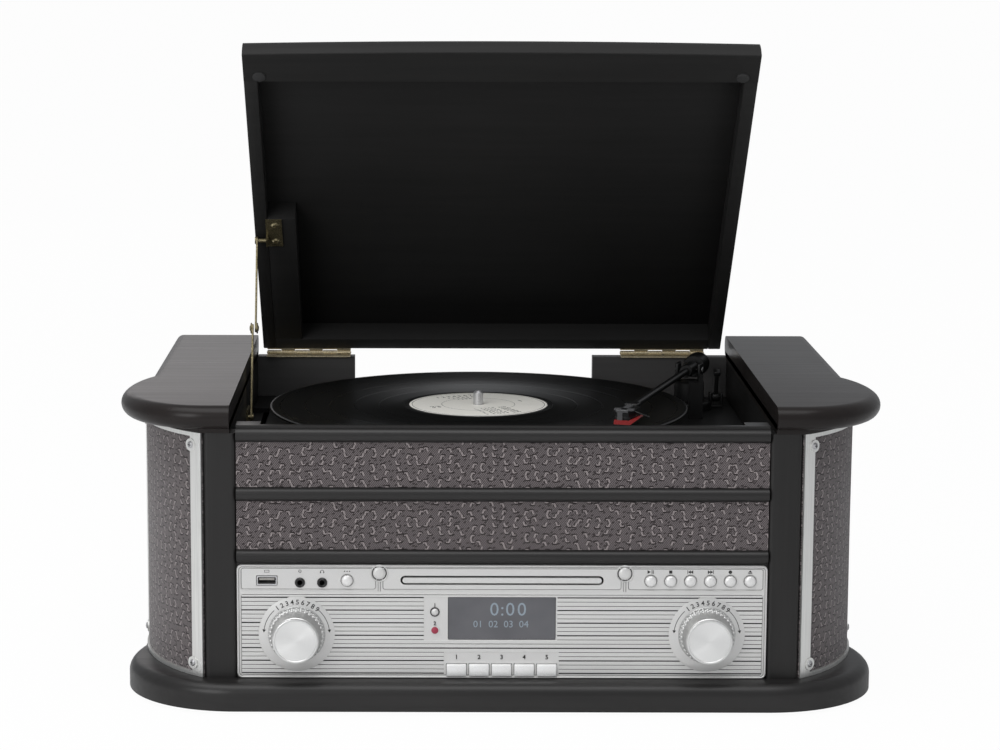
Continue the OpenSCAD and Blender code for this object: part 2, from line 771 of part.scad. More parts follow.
// ---------------------------------------------------------------- disc drive and power
drive_side = 7.35;                           // room of the drive beside its tray, with its wall
drive_low = 8.5;
drive_h = 30;
drive_l = 168;
drive_wall = 1.5;
tray_w = slot_w - 1;
drive_w = tray_w + 2 * drive_side;
tray_h = slot_h - 1;
tray_l = 142;
disc_d = 122;
module cd_tray() {
    color(plastic) translate([0, 0, row + 0.2 - tray_h / 2]) difference() {
        union() {
            translate([-tray_w / 2, -front_y - 0.6, 0]) cube([tray_w, 4, tray_h]);
            translate([-tray_w / 2, -front_y + 2, 0]) cube([tray_w, tray_l, tray_h - 0.4]);
        }
        translate([0, -front_y + 8 + disc_d / 2, 1.8]) cylinder(d = disc_d, h = tray_h);
        translate([-14, -front_y + 42, -1]) cube([28, 120, 20]);
    }
}
module cd_drive() {
    z0 = row - drive_low;
    y0 = board_back_y + 0.5;
    mouth = tray_h + 1;
    color([0.55, 0.55, 0.56]) {
        difference() {
            translate([-drive_w / 2, y0, z0]) cube([drive_w, drive_l, drive_h]);
            translate([-drive_w / 2 + drive_wall, y0 + drive_wall, z0 + drive_wall])
                cube([drive_w - 2 * drive_wall, drive_l - 2 * drive_wall,
                      drive_h - 2 * drive_wall]);
            translate([-tray_w / 2 - 0.5, y0 - 1, row + 0.2 - mouth / 2])
                cube([tray_w + 1, drive_wall + 2, mouth]);
        }
        for (x = [-1, 1]) translate([x * (drive_w / 2 - 4.5) - 4, y0 + 1, row + 0.2 - tray_h / 2 - 3])
            cube([8, drive_l - 2, 2.7]);
    }
    color(black) for (x = [-drive_w / 2 + 6, drive_w / 2 - 6], y = [y0 + 20, y0 + drive_l - 20])
        translate([x, y, floor_z]) cylinder(d = 7, h = z0 - floor_z + eps);
}
plate = [66, 56, 3];                         // mounting plate of the power supply
core = [54, 44, 44];                         // its transformer core
core_leg = [14, 12];
coil = [18, 28, 40];
module power_supply() {
    edge = (plate[0] - core[0]) / 2;
    top = plate[2] - eps;
    color([0.25, 0.25, 0.27]) translate([well_half - 20 - plate[0], back_y - 55.5 - plate[1], floor_z]) {
        cube(plate);
        translate([edge, edge, top]) difference() {
            cube(core);
            translate([core_leg[0], core_leg[1], -1])
                cube([core[0] - 2 * core_leg[0], core[1] - 2 * core_leg[1], core[2] + 2]);
        }
        translate([(plate[0] - coil[0]) / 2, edge + (core[1] - coil[1]) / 2, top]) cube(coil);
    }
}
panel_top_z = floor_z + deck_z - 21.5;
panel_t = 3;
rca_x = [32 - well_half, 50 - well_half];
inlet_x = well_half - 42;
inlet_w = 21.6;
inlet_h = 15.6;
inlet_rim = 2.2;
socket_z = floor_z + 40;
module rear_panel() {
    color(plastic) difference() {
        translate([-well_half + fit, back_y - panel_t, floor_z])
            cube([2 * (well_half - fit), panel_t, panel_top_z - floor_z]);
        for (x = rca_x) translate([x, back_y - 10, socket_z]) rotate([-90, 0, 0])
            cylinder(d = 10, h = 20);
        translate([inlet_x - inlet_w / 2 - 0.2, back_y - 10, socket_z - inlet_h / 2 - 0.2])
            cube([inlet_w + 0.4, 20, inlet_h + 0.4]);
        for (i = [0:8]) translate([-20 + i * 12, back_y - 10, panel_top_z - 40])
            cube([4, 20, 26]);
    }
}
module rear_sockets() {
    color(plastic) {
        for (x = rca_x) translate([x, back_y - panel_t - 2, socket_z]) rotate([-90, 0, 0])
            difference() {
                union() {
                    cylinder(d = 14, h = 2);
                    cylinder(d = 9.6, h = panel_t + 8);
                }
                translate([0, 0, 3]) cylinder(d = 8.3, h = panel_t + 8);
            }
        difference() {
            translate([inlet_x - inlet_w / 2, back_y - panel_t - 12, socket_z - inlet_h / 2])
                cube([inlet_w, panel_t + 12.5, inlet_h]);
            translate([inlet_x - inlet_w / 2 + inlet_rim, back_y - 10, socket_z - inlet_h / 2 + 3.3])
                cube([inlet_w - 2 * inlet_rim, 20, inlet_h - 6.6]);
        }
        translate([inlet_x - inlet_w / 2 - inlet_rim, back_y, socket_z - inlet_h / 2 - inlet_rim])
                difference() {
            cube([inlet_w + 2 * inlet_rim, 1.2, inlet_h + 2 * inlet_rim]);
            translate([inlet_rim, -1, inlet_rim]) cube([inlet_w, 4, inlet_h]);
        }
    }
}

// ---------------------------------------------------------------- record deck
deck_top = floor_z + deck_z;
platter_z = deck_top + platter_h;
record_z = platter_z + record_t;
gap_x = [75.4 - well_half, well_half - 104];     // ends of the notch in the hinge rail
gap_low = floor_z + hinge_rail_h - 24;
module hinge_rail() {
    color(black) difference() {
        translate([-well_half + fit, rail_front, panel_top_z + fit])
            cube([2 * (well_half - fit), hinge_rail_t, floor_z + hinge_rail_h - panel_top_z - fit]);
        translate([gap_x[0], rail_front - 1, gap_low])
            cube([gap_x[1] - gap_x[0], hinge_rail_t + 2, hinge_rail_h]);
    }
}
module at_spindle() {
    translate([-spindle_x, spindle_y, 0]) children();
}
motor_turn = 215;
motor_pos = [motor_far * cos(motor_turn), motor_far * sin(motor_turn)];
bush_d = 15;
module deck_plate() {
    rest_y = pivot_y - 42;
    arm_low = record_z + arm_up - tube_d / 2;
    color(plastic) {
        difference() {
            translate([-well_half + fit + 0.2, board_back_y + fit, deck_top - deck_t])
                cube([2 * (well_half - fit - 0.2), rail_front - board_back_y - 2 * fit, deck_t]);
            at_spindle() translate([0, 0, deck_top - 20]) cylinder(d = bush_d, h = 40);
            at_spindle() translate([motor_pos[0], motor_pos[1], deck_top - 20])
                cylinder(d = 14, h = 40);
            translate([-well_half, stay_y - 12, deck_top - deck_t - 1])
                cube([13, 90, deck_t + 2]);
            for (side = [-1, 1]) translate([side * well_half - corner_w, board_back_y - 1,
                                            deck_top - deck_t - 1])
                cube([2 * corner_w, corner_l + 1.3, deck_t + 2]);
            translate([pivot_x, pivot_y, deck_top - 20]) cylinder(d = 12.2, h = 40);
        }
        translate([pivot_x - 4, rest_y - 4, deck_top - eps]) cube([10, 8, arm_low - deck_top - 0.5]);
        translate([pivot_x + 3.2, rest_y - 4, arm_low - 1]) cube([2.8, 8, 6]);
    }
}
module spindle_bush() {
    color(brass) at_spindle() difference() {
        union() {
            translate([0, 0, deck_top - 16]) cylinder(d = bush_d - 0.1, h = 16);
            translate([0, 0, deck_top]) cylinder(d = bush_d + 7, h = 1.5);
        }
        translate([0, 0, deck_top - 14]) cylinder(d = shaft_d + 2 * shaft_gap, h = 40);
    }
}
shaft_d = spindle_d - 0.6;
module spindle() {
    top = record_z + spindle_up;
    tip = 1.5;
    shoulder = record_z + 0.5;
    color(steel) at_spindle() {
        translate([0, 0, deck_top - 13.9]) cylinder(d = shaft_d, h = shoulder - deck_top + 13.9 + eps);
        translate([0, 0, shoulder]) cylinder(d = spindle_d, h = top - tip - shoulder);
        translate([0, 0, top - tip - eps]) cylinder(d1 = spindle_d, d2 = spindle_d - 3, h = tip);
    }
}
module platter() {
    skirt = 12;
    rim_t = 3;
    mat_t = 1;
    color(plastic) at_spindle() difference() {
        union() {
            translate([0, 0, platter_z - mat_t - platter_t])
                cylinder(d = platter_d, h = platter_t, $fn = 96);
            translate([0, 0, platter_z - mat_t - eps])
                cylinder(d = platter_d - 6, h = mat_t + eps, $fn = 96);
            difference() {
                translate([0, 0, platter_z - skirt]) cylinder(d = platter_d, h = skirt - 2,
                                                             $fn = 96);
                translate([0, 0, platter_z - skirt - 1])
                    cylinder(d = platter_d - 2 * rim_t, h = skirt + 2, $fn = 96);
            }
            difference() {
                translate([0, 0, platter_z - skirt - 2]) cylinder(d = rim_d, h = skirt, $fn = 96);
                translate([0, 0, platter_z - skirt - 3]) cylinder(d = rim_d - 6, h = skirt + 2);
            }
            translate([0, 0, deck_top + 1.8]) cylinder(d = 20, h = platter_h - 4);
        }
        cylinder(d = shaft_d + 0.02, h = 400);
    }
}
module record() {
    groove = 0.3;
    color([0.03, 0.03, 0.03]) at_spindle() difference() {
        translate([0, 0, platter_z + 0.02]) cylinder(d = record_d, h = record_t - 0.02, $fn = 128);
        cylinder(d = spindle_d + 0.15, h = 400);
        translate([0, 0, record_z - groove]) difference() {
            cylinder(d = record_d - 8, h = 2, $fn = 128);
            translate([0, 0, -1]) cylinder(d = label_d + 14, h = 4);
        }
    }
}
belt_z = platter_z - 12.5;
belt_h = 5;
belt_t = 0.7;
module drive_belt() {
    gap = 0.1;
    color(plastic) at_spindle() translate([0, 0, belt_z]) linear_extrude(belt_h) difference() {
        hull() {
            circle(d = rim_d + 2 * (gap + belt_t));
            translate(motor_pos) circle(d = pulley_d + 2 * (gap + belt_t));
        }
        hull() {
            circle(d = rim_d + 2 * gap);
            translate(motor_pos) circle(d = pulley_d + 2 * gap);
        }
    }
}
module at_motor() {
    at_spindle() translate([motor_pos[0], motor_pos[1], 0]) children();
}
module motor() {
    color(steel) at_motor() difference() {
        union() {
            translate([0, 0, deck_top - deck_t - motor_h]) cylinder(d = motor_d, h = motor_h);
            translate([0, 0, deck_top - deck_t - eps]) cylinder(d = 11, h = 3);
        }
        translate([0, 0, deck_top - deck_t - 10]) cylinder(d = 3 + 2 * shaft_gap, h = 40);
    }
}
module motor_pulley() {
    color(brass) at_motor() {
        translate([0, 0, belt_z - 1.5]) cylinder(d = pulley_d, h = belt_h + 3);
        translate([0, 0, belt_z - 2.5]) cylinder(d = pulley_d + 3, h = 1.2);
        translate([0, 0, belt_z + belt_h + 0.5]) cylinder(d = pulley_d + 3, h = 1);
        translate([0, 0, deck_top - deck_t - 9]) cylinder(d = 3, h = belt_z - deck_top + 12);
    }
}

// ---------------------------------------------------------------- tonearm
arm_z = record_z + arm_up;
plinth_h = 6;
turret_z = deck_top + plinth_h + 0.3;
pitch_pin_r = 1;
module at_pivot() {
    translate([pivot_x, pivot_y, 0]) rotate([0, 0, arm_dir]) children();
}
cue_pos = [pivot_x + 21, pivot_y + 7];
cue_z = deck_top + 8;
cue_pin_r = 1.2;
module arm_base() {
    ear_t = 2.2;
    color(plastic) difference() {
        union() {
            translate([pivot_x, pivot_y, deck_top]) cylinder(d = 34, h = plinth_h);
            translate([pivot_x, pivot_y, deck_top - 12]) cylinder(d = 12, h = 13);
            for (side = [-1, 1])
                translate([cue_pos[0] + side * 4.2 - ear_t / 2, cue_pos[1] - 4, deck_top])
                    cube([ear_t, 8, cue_z - deck_top + 3.5]);
            translate([cue_pos[0] - 5, cue_pos[1] - 5, deck_top]) cube([10, 10, 2.5]);
        }
        translate([pivot_x, pivot_y, deck_top - 10]) cylinder(d = 6 + 2 * shaft_gap, h = 40);
        translate([cue_pos[0], cue_pos[1], cue_z]) rotate([0, 90, 0])
            cylinder(r = cue_pin_r + shaft_gap, h = 30, center = true);
    }
}
module arm_gimbal() {
    ear_t = 3;
    color(plastic) at_pivot() {
        translate([0, 0, deck_top - 9]) cylinder(d = 6, h = plinth_h + 10);
        translate([0, 0, turret_z]) cylinder(d = 22, h = arm_z - turret_z - 8);
        for (side = [-1, 1]) difference() {
            translate([-5, side * 8.5 - ear_t / 2, arm_z - 9]) cube([10, ear_t, 14]);
            translate([0, 0, arm_z]) rotate([90, 0, 0])
                cylinder(r = pitch_pin_r + shaft_gap, h = 40, center = true);
        }
    }
}
head_l = 26;
stylus_gap = 0.3;
module tonearm() {
    weight_d = 17;
    color([0.2, 0.2, 0.2]) at_pivot() {
        translate([0, 0, arm_z]) rotate([90, 0, 0])
            cylinder(r = pitch_pin_r, h = 18, center = true);
        translate([0, 0, arm_z]) rotate([0, 90, 0]) {
            translate([0, 0, -10]) cylinder(d = 10, h = 22);
            translate([0, 0, 8]) cylinder(d = tube_d, h = arm_len - head_l - 10);
            translate([0, 0, -33]) cylinder(d = weight_d, h = 19);
            translate([0, 0, -15]) cylinder(d = 6, h = 6);
        }
        translate([arm_len - head_l + 2, -8, arm_z - 2.5]) cube([head_l, 16, 4]);
        translate([arm_len - head_l - 6, -5, arm_z - 3]) cube([10, 10, 6]);
        translate([arm_len - 18, -5.5, record_z + 3]) cube([19, 11, arm_up - 5]);
        translate([arm_len - 9, -2.5, record_z + stylus_gap + 1.2]) cube([11, 5, 2]);
        translate([arm_len, 0, record_z + stylus_gap]) cylinder(d1 = 0.8, d2 = 1.6, h = 1.5);
        translate([arm_len - 6, 7, arm_z + 0.5]) rotate([-20, 0, 0]) cube([3, 12, 1.2]);
    }
}
module cue_lever() {
    color(plastic) translate([cue_pos[0], cue_pos[1], cue_z]) {
        rotate([0, 90, 0]) cylinder(d = 7, h = 5, center = true);
        rotate([20, 0, 0]) translate([-1.5, -2, 0]) cube([3, 4, 21]);
        rotate([20, 0, 0]) translate([-2.5, -3, 19]) cube([5, 6, 4]);
        rotate([0, 90, 0]) cylinder(r = cue_pin_r, h = 10.6, center = true);
    }
}

// ---------------------------------------------------------------- lid, hinges and stay
hinge_z = floor_z + hinge_rail_h + barrel_r + 0.1;
rim_z = front_top_z + lid_gap;
lid_back_y = hinge_y - lid_edge;
lid_l = lid_back_y + front_y + lid_over;
module opened() {
    translate([0, hinge_y, hinge_z]) rotate([-lid_open, 0, 0]) translate([0, -hinge_y, -hinge_z])
        children();
}
bow_n = 8;
function bow_edge(inset) =
    [for (i = [-bow_n:bow_n]) let (s = i / bow_n)
     [s * lid_w / 2, lid_back_y - lid_l + inset - lid_bow * (1 - s * s)]];
module lid_frame() {
    half = lid_w / 2;
    inner = lid_back_y - lid_l + lid_front;
    depth = lid_t - lid_board;
    color(black) opened() {
        hull()
            for (t = [0:15:90])
                slice(rim_z + lid_t - lid_round + lid_round * sin(t) - (t == 90 ? eps : 0),
                      concat(bow_edge(lid_round * (1 - cos(t))), [[half, inner], [-half, inner]]));
        translate([0, 0, rim_z]) linear_extrude(lid_t - lid_round + eps)
            polygon(concat(bow_edge(0), [[half, inner], [-half, inner]]));
        for (x = [-half, half - lid_side])
            translate([x, inner - 1, rim_z]) cube([lid_side, lid_back_y - inner + 1, depth]);
        translate([-half, lid_back_y - lid_rear, rim_z]) cube([lid_w, lid_rear, depth]);
        translate([-half + lid_side - 1, lid_back_y - lid_rear - block_l, rim_z])
            cube([block_w + 1, block_l + 1, depth]);
    }
}
module lid_panel() {
    front = lid_back_y - lid_l + lid_front;
    color(black) opened()
        translate([-lid_w / 2, front + 0.02, rim_z + lid_t - lid_board + 0.02])
            cube([lid_w, lid_back_y - front - 0.02, lid_board - 0.02]);
}
bumper_x = lid_w / 2 - 10.9;
module lid_bumpers() {
    color(plastic) opened()
        for (x = [-bumper_x, bumper_x])
            translate([x, lid_back_y - lid_l + 22, rim_z - lid_gap + 0.1])
                cylinder(d = 9, h = lid_gap - 0.1);
}
hinge_xs = [39.5 - well_half, well_half - 49.5];
knuckles = 6;
knuckle_l = hinge_l / knuckles;
knuckle_gap = 0.15;
module knuckle(x, i) {
    translate([x - hinge_l / 2 + i * knuckle_l + knuckle_gap, hinge_y, hinge_z])
        rotate([0, 90, 0]) children();
}
module hinge_leaves() {
    z = floor_z + hinge_rail_h;
    color(brass) for (x = hinge_xs) {
        for (i = [0:2:4]) difference() {
            union() {
                knuckle(x, i) cylinder(r = barrel_r, h = knuckle_l - 2 * knuckle_gap);
                translate([x - hinge_l / 2 + i * knuckle_l + knuckle_gap, hinge_y - leaf_w, z])
                    cube([knuckle_l - 2 * knuckle_gap, leaf_w, leaf_t]);
            }
            knuckle(x, i) translate([0, 0, -1]) cylinder(r = pin_r, h = knuckle_l + 2);
        }
        translate([x - hinge_l / 2, hinge_y - leaf_w, z]) cube([hinge_l, leaf_w - barrel_r - 0.6,
                                                               leaf_t]);
        translate([x - hinge_l / 2 - 0.3, hinge_y, hinge_z]) rotate([0, 90, 0])
            cylinder(r = pin_r, h = hinge_l + 0.6);
    }
}
module hinge_flaps() {
    color(brass) opened() for (x = hinge_xs) {
        for (i = [1:2:5]) difference() {
            union() {
                knuckle(x, i) cylinder(r = barrel_r, h = knuckle_l - 2 * knuckle_gap);
                translate([x - hinge_l / 2 + i * knuckle_l + knuckle_gap, lid_back_y, hinge_z])
                    cube([knuckle_l - 2 * knuckle_gap, lid_edge - barrel_r + 0.6,
                          rim_z - hinge_z + 1]);
            }
            knuckle(x, i) translate([0, 0, -1]) cylinder(r = pin_r + shaft_gap, h = knuckle_l + 2);
        }
        translate([x - hinge_l / 2, lid_back_y, rim_z])
            cube([hinge_l, leaf_t, leaf_w - rim_z + hinge_z]);
    }
}

// The stay lies straight between its two pivots while the lid is open.
stay_low = [stay_y, deck_top + stay_up];
function turn(p, a) = [p[0] * cos(a) - p[1] * sin(a), p[0] * sin(a) + p[1] * cos(a)];
stay_shut = [lid_back_y - stay_u, rim_z - stay_drop];
stay_high = [hinge_y, hinge_z] + turn(stay_shut - [hinge_y, hinge_z], -lid_open);
stay_len = norm(stay_high - stay_low);
stay_dir = atan2(stay_high[1] - stay_low[1], stay_high[0] - stay_low[0]);
lower_x = 3.4 - well_half;
upper_x = 5.6 - well_half;
rivet_r = 1.6;
module stay_arm(x, from, l, a, boss) {
    translate([x, from[0], from[1]]) rotate([a, 0, 0]) {
        difference() {
            hull() for (y = [0, l]) translate([0, y, 0]) rotate([0, 90, 0])
                cylinder(d = arm_w, h = arm_t, center = true, $fn = 32);
            rotate([0, 90, 0]) cylinder(r = rivet_r + shaft_gap, h = 9, center = true);
        }
        translate([boss * arm_t / 2 - (boss < 0 ? 0.8 : 0), l, 0]) rotate([0, 90, 0])
            cylinder(r = 2.2, h = 0.8);
    }
}
module stay_lower_arm() {
    color(brass) stay_arm(lower_x, stay_low, stay_len / 2, stay_dir, -1);
}
module stay_upper_arm() {
    color(brass) stay_arm(upper_x, stay_high, stay_len / 2, stay_dir + 180, 1);
}
module stay_bracket() {
    color(brass) {
        translate([-well_half, stay_y - 5, stay_low[1] - 6]) cube([1.3, 22, 12]);
        translate([-well_half, stay_low[0], stay_low[1]]) rotate([0, 90, 0])
            cylinder(r = rivet_r, h = well_half + lower_x + arm_t / 2 + 0.2);
        translate([lower_x + arm_t / 2 + 0.15, stay_low[0], stay_low[1]]) rotate([0, 90, 0])
            cylinder(r = rivet_r + 1, h = 0.7);
    }
}
clip_x = 12.4 - well_half;
module stay_clip() {
    plate = 30;
    color(brass) opened() {
        translate([clip_x, stay_shut[0] - plate / 2 - 5, rim_z - 1.2]) cube([12, plate, 1.2]);
        translate([clip_x, stay_shut[0] - 4, stay_shut[1] - 3]) cube([1.3, 8, stay_drop + 3 - 0.5]);
        translate([upper_x - arm_t / 2 - 0.9, stay_shut[0], stay_shut[1]]) rotate([0, 90, 0])
            cylinder(r = rivet_r, h = clip_x - upper_x + arm_t / 2 + 1);
        translate([upper_x - arm_t / 2 - 0.9, stay_shut[0], stay_shut[1]]) rotate([0, 90, 0])
            cylinder(r = rivet_r + 1, h = 0.7);
        for (y = [-13, 5]) translate([clip_x + 7, stay_shut[0] + y - 1, rim_z - 1.2])
            rotate([180, 0, 0]) screw_head(6, 1);
    }
}

base_board();
feet();
left_cabinet();
right_cabinet();
left_cap();
right_cap();
front_posts();
front_board();
front_rails();
cloth_panels();
left_grille();
right_grille();
grille_trims();
trim_screws();
rear_panel();
rear_sockets();
hinge_rail();
deck_plate();
platter();
spindle();
spindle_bush();
record();
drive_belt();
motor();
motor_pulley();
arm_base();
arm_gimbal();
tonearm();
cue_lever();
fascia();
display();
volume_knob();
tuning_knob();
function_button();
play_button();
stop_button();
back_button();
skip_button();
record_button();
eject_button();
key_1();
key_2();
key_3();
key_4();
key_5();
front_sockets();
cd_tray();
cd_drive();
control_board();
power_supply();
speakers();
lid_frame();
lid_panel();
lid_bumpers();
hinge_leaves();
hinge_flaps();
stay_lower_arm();
stay_upper_arm();
stay_bracket();
stay_clip();
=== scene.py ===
"""A stereo music centre in black wood with cloth grilles, a silver panel and a record deck."""
import math

import bmesh
import bpy
from mathutils import Matrix, Vector


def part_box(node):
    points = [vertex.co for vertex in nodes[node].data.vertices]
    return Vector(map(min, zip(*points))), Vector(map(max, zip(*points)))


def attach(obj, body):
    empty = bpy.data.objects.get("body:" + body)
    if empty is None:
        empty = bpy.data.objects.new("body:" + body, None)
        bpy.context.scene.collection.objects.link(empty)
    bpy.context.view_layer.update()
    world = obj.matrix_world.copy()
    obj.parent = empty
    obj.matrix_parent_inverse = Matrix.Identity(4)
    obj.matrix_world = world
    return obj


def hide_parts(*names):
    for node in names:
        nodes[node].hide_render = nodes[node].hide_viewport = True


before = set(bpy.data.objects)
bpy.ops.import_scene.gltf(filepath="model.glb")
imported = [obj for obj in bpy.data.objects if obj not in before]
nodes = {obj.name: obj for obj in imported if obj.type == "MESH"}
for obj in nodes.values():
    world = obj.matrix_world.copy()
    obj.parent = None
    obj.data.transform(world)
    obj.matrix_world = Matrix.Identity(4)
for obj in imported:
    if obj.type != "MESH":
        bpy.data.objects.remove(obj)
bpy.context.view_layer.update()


# ------------------------------------------------------------------ camera, floor and light
# The camera looks from the front and a little from above. The floor and the world show white to
# the camera. Two soft boxes light the set at a plain level, and a faint one stands far behind it.
camera = bpy.data.objects.new("camera", bpy.data.cameras.new("camera"))
camera.data.sensor_width = 36
camera.data.lens = 100.8
camera.data.shift_x = 0.0729
camera.location = (-0.05124, -1.98868, 0.5214)
camera.rotation_euler = (math.radians(90 - 9.09), math.radians(-0.13), 0)
bpy.context.scene.collection.objects.link(camera)
bpy.context.scene.camera = camera
bpy.context.scene.view_settings.view_transform = "Standard"


def soft_box(name, place, aim, width, height, watts):
    """A rectangular lamp at place that faces aim."""
    lamp = bpy.data.objects.new(name, bpy.data.lights.new(name, "AREA"))
    lamp.data.shape = "RECTANGLE"
    lamp.data.size = width
    lamp.data.size_y = height
    lamp.data.energy = watts
    lamp.location = place
    lamp.rotation_euler = (Vector(aim) - Vector(place)).to_track_quat("-Z", "Y").to_euler()
    bpy.context.scene.collection.objects.link(lamp)


soft_box("box_top", (-0.3, -0.6, 2.0), (0, 0, 0.1), 2.2, 1.4, 24)
soft_box("box_front", (-1.5, -2.3, 1.15), (0, 0, 0.15), 1.5, 1.2, 24)
soft_box("box_back", (-0.75, 3.0, 0.95), (-0.25, 0, 0.2), 1.2, 0.8, 2.2)
bpy.data.lights["box_back"].color = (1, 0.94, 0.93)


def add_node(tree, kind, inputs=(), **settings):
    """A node of a kind with its settings; each input is linked to a socket or set to a value."""
    node = tree.nodes.new(kind)
    for name, value in settings.items():
        setattr(node, name, value)
    for name, value in dict(inputs).items():
        if isinstance(value, bpy.types.NodeSocket):
            tree.links.new(value, node.inputs[name])
        else:
            node.inputs[name].default_value = value
    return node


def white_for_camera(tree, shown, lit, output, amount):
    """Mixes a shader with plain white where the camera or a clear material looks straight at it."""
    path = tree.nodes.new("ShaderNodeLightPath")
    either = add_node(tree, "ShaderNodeMath", {0: path.outputs["Is Camera Ray"],
                                               1: path.outputs["Is Transmission Ray"]},
                      operation="MAXIMUM")
    share = add_node(tree, "ShaderNodeMath", {0: either.outputs[0], 1: amount},
                     operation="MULTIPLY")
    mix = add_node(tree, "ShaderNodeMixShader", {0: share.outputs[0], 1: lit, 2: shown})
    tree.links.new(mix.outputs[0], output)


world = bpy.data.worlds.new("studio")
world.use_nodes = True
bpy.context.scene.world = world
sky = world.node_tree
sky.nodes["Background"].inputs["Color"].default_value = (0.95, 0.97, 1, 1)
sky.nodes["Background"].inputs["Strength"].default_value = 0.40
white = sky.nodes.new("ShaderNodeBackground")
white.inputs["Color"].default_value = (1, 1, 1, 1)
white_for_camera(sky, white.outputs[0], sky.nodes["Background"].outputs[0],
                 sky.nodes["World Output"].inputs["Surface"], 1)

floor_mesh = bpy.data.meshes.new("floor")
floor_mesh.from_pydata([(-60, -60, 0), (60, -60, 0), (60, 60, 0), (-60, 60, 0)], [], [(0, 1, 2, 3)])
floor = bpy.data.objects.new("floor", floor_mesh)
bpy.context.scene.collection.objects.link(floor)
floor_paint = bpy.data.materials.new("floor_paint")
floor_paint.use_nodes = True
paint = floor_paint.node_tree
paint.nodes["Principled BSDF"].inputs["Base Color"].default_value = (0.9, 0.9, 0.9, 1)
paint.nodes["Principled BSDF"].inputs["Roughness"].default_value = 0.9
glow = paint.nodes.new("ShaderNodeEmission")
white_for_camera(paint, glow.outputs[0], paint.nodes["Principled BSDF"].outputs[0],
                 paint.nodes["Material Output"].inputs["Surface"], 0.97)
floor_mesh.materials.append(floor_paint)


# ------------------------------------------------------------------ base board
# One thick board of black-stained wood with round ends left and right, on four rubber feet. Its
# upper edge is rounded over with a router, and the lower one is square.
base_lo, base_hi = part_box("base_board")
base_round = 0.008
base_step = 0.0039                           # how far the board stands out behind the round ends
cap_rear_in = 0.0141                         # from a cap's widest point to its straight side
base_widest_y = -0.097
base_curve = (0.078, 0.0785, 0.092)          # width of a round end, and its front and rear length
rear_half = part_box("right_cap")[1].x - cap_rear_in
base_half = rear_half + base_step


def ellipse_end(reach, widest_y, curve, edge, back, inner, inset):
    """Right half of an outline: a round end of two quarter ellipses, then a straight side."""
    width, front, rear = curve
    width, front, rear = width - inset, front - inset, rear - inset
    middle = reach - inset - width
    last = math.acos((edge - inset - middle) / width)
    points = [(inner, widest_y - front)]
    for step in range(31):
        turn = math.radians(-90 + 3 * step)
        points.append((middle + width * math.cos(turn), widest_y + front * math.sin(turn)))
    for step in range(1, 17):
        turn = last * step / 16
        points.append((middle + width * math.cos(turn), widest_y + rear * math.sin(turn)))
    points.append((edge - inset, back - inset))
    points.append((inner, back - inset))
    return points


def add_rings(mesh, rings):
    """Joins closed loops of equally many points by quads, and closes the first and last one."""
    made = [[mesh.verts.new(point) for point in ring] for ring in rings]
    count = len(made[0])
    for low, high in zip(made, made[1:]):
        for i in range(count):
            mesh.faces.new((low[i], low[(i + 1) % count], high[(i + 1) % count], high[i]))
    mesh.faces.new(made[0][::-1])
    mesh.faces.new(made[-1])


def quarter_round(height, radius):
    """Height and inset of each ring over the rounded upper edge of a board."""
    turns = [math.pi / 2 * i / 8 for i in range(9)]
    return [(height - radius + radius * math.sin(t), radius * (1 - math.cos(t))) for t in turns]


def finish_piece(name, mesh, materials, body, stands_for=()):
    """Turns an edit mesh into a piece that rides on a body, smooth between its sharp edges."""
    bmesh.ops.recalc_face_normals(mesh, faces=mesh.faces)
    data = bpy.data.meshes.new(name)
    mesh.to_mesh(data)
    mesh.free()
    for material in materials:
        data.materials.append(material)
    data.shade_smooth()
    data.set_sharp_from_angle(angle=math.radians(35))
    piece = bpy.data.objects.new(name, data)
    bpy.context.scene.collection.objects.link(piece)
    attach(piece, body)
    if stands_for:
        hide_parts(*stands_for)
    return piece


def new_finish(name, colour, rough, metal=0.0, gloss=0.5):
    """A new material, its node tree and shader, and the socket that gives object coordinates."""
    material = bpy.data.materials.new(name)
    material.use_nodes = True
    tree = material.node_tree
    shader = tree.nodes["Principled BSDF"]
    shader.inputs["Base Color"].default_value = (*colour, 1)
    shader.inputs["Roughness"].default_value = rough
    shader.inputs["Metallic"].default_value = metal
    shader.inputs["Specular IOR Level"].default_value = gloss
    return material, tree, shader, tree.nodes.new("ShaderNodeTexCoord").outputs["Object"]


def stretched(tree, place, scale, turn=(0, 0, 0)):
    """Coordinates scaled, so that a pattern runs along the axis with the smallest scale."""
    return add_node(tree, "ShaderNodeMapping",
                    {"Vector": place, "Scale": scale, "Rotation": turn}).outputs[0]


def noise(tree, place, scale=1.0, detail=3.0, rough=0.55, bend=0.0):
    return add_node(tree, "ShaderNodeTexNoise",
                    {"Vector": place, "Scale": scale, "Detail": detail, "Roughness": rough,
                     "Distortion": bend}).outputs["Fac"]


def between(tree, value, low, high, first, last):
    """Maps a value from low..high to first..last."""
    return add_node(tree, "ShaderNodeMapRange",
                    {"Value": value, "From Min": low, "From Max": high, "To Min": first,
                     "To Max": last}).outputs[0]


def blend_colours(tree, value, first, last):
    """A colour that goes from first to last with the value."""
    first, last = [(*c, 1) if isinstance(c, tuple) else c for c in (first, last)]
    return add_node(tree, "ShaderNodeMix", {"Factor": value, "A": first, "B": last},
                    data_type="RGBA").outputs["Result"]


def vector_math(tree, kind, first, second=(0, 0, 0)):
    """A vector operation on sockets or plain numbers."""
    node = add_node(tree, "ShaderNodeVectorMath",
                    {0: first, "Scale" if kind == "SCALE" else 1: second}, operation=kind)
    return node.outputs["Value" if kind in ("DOT_PRODUCT", "LENGTH") else "Vector"]


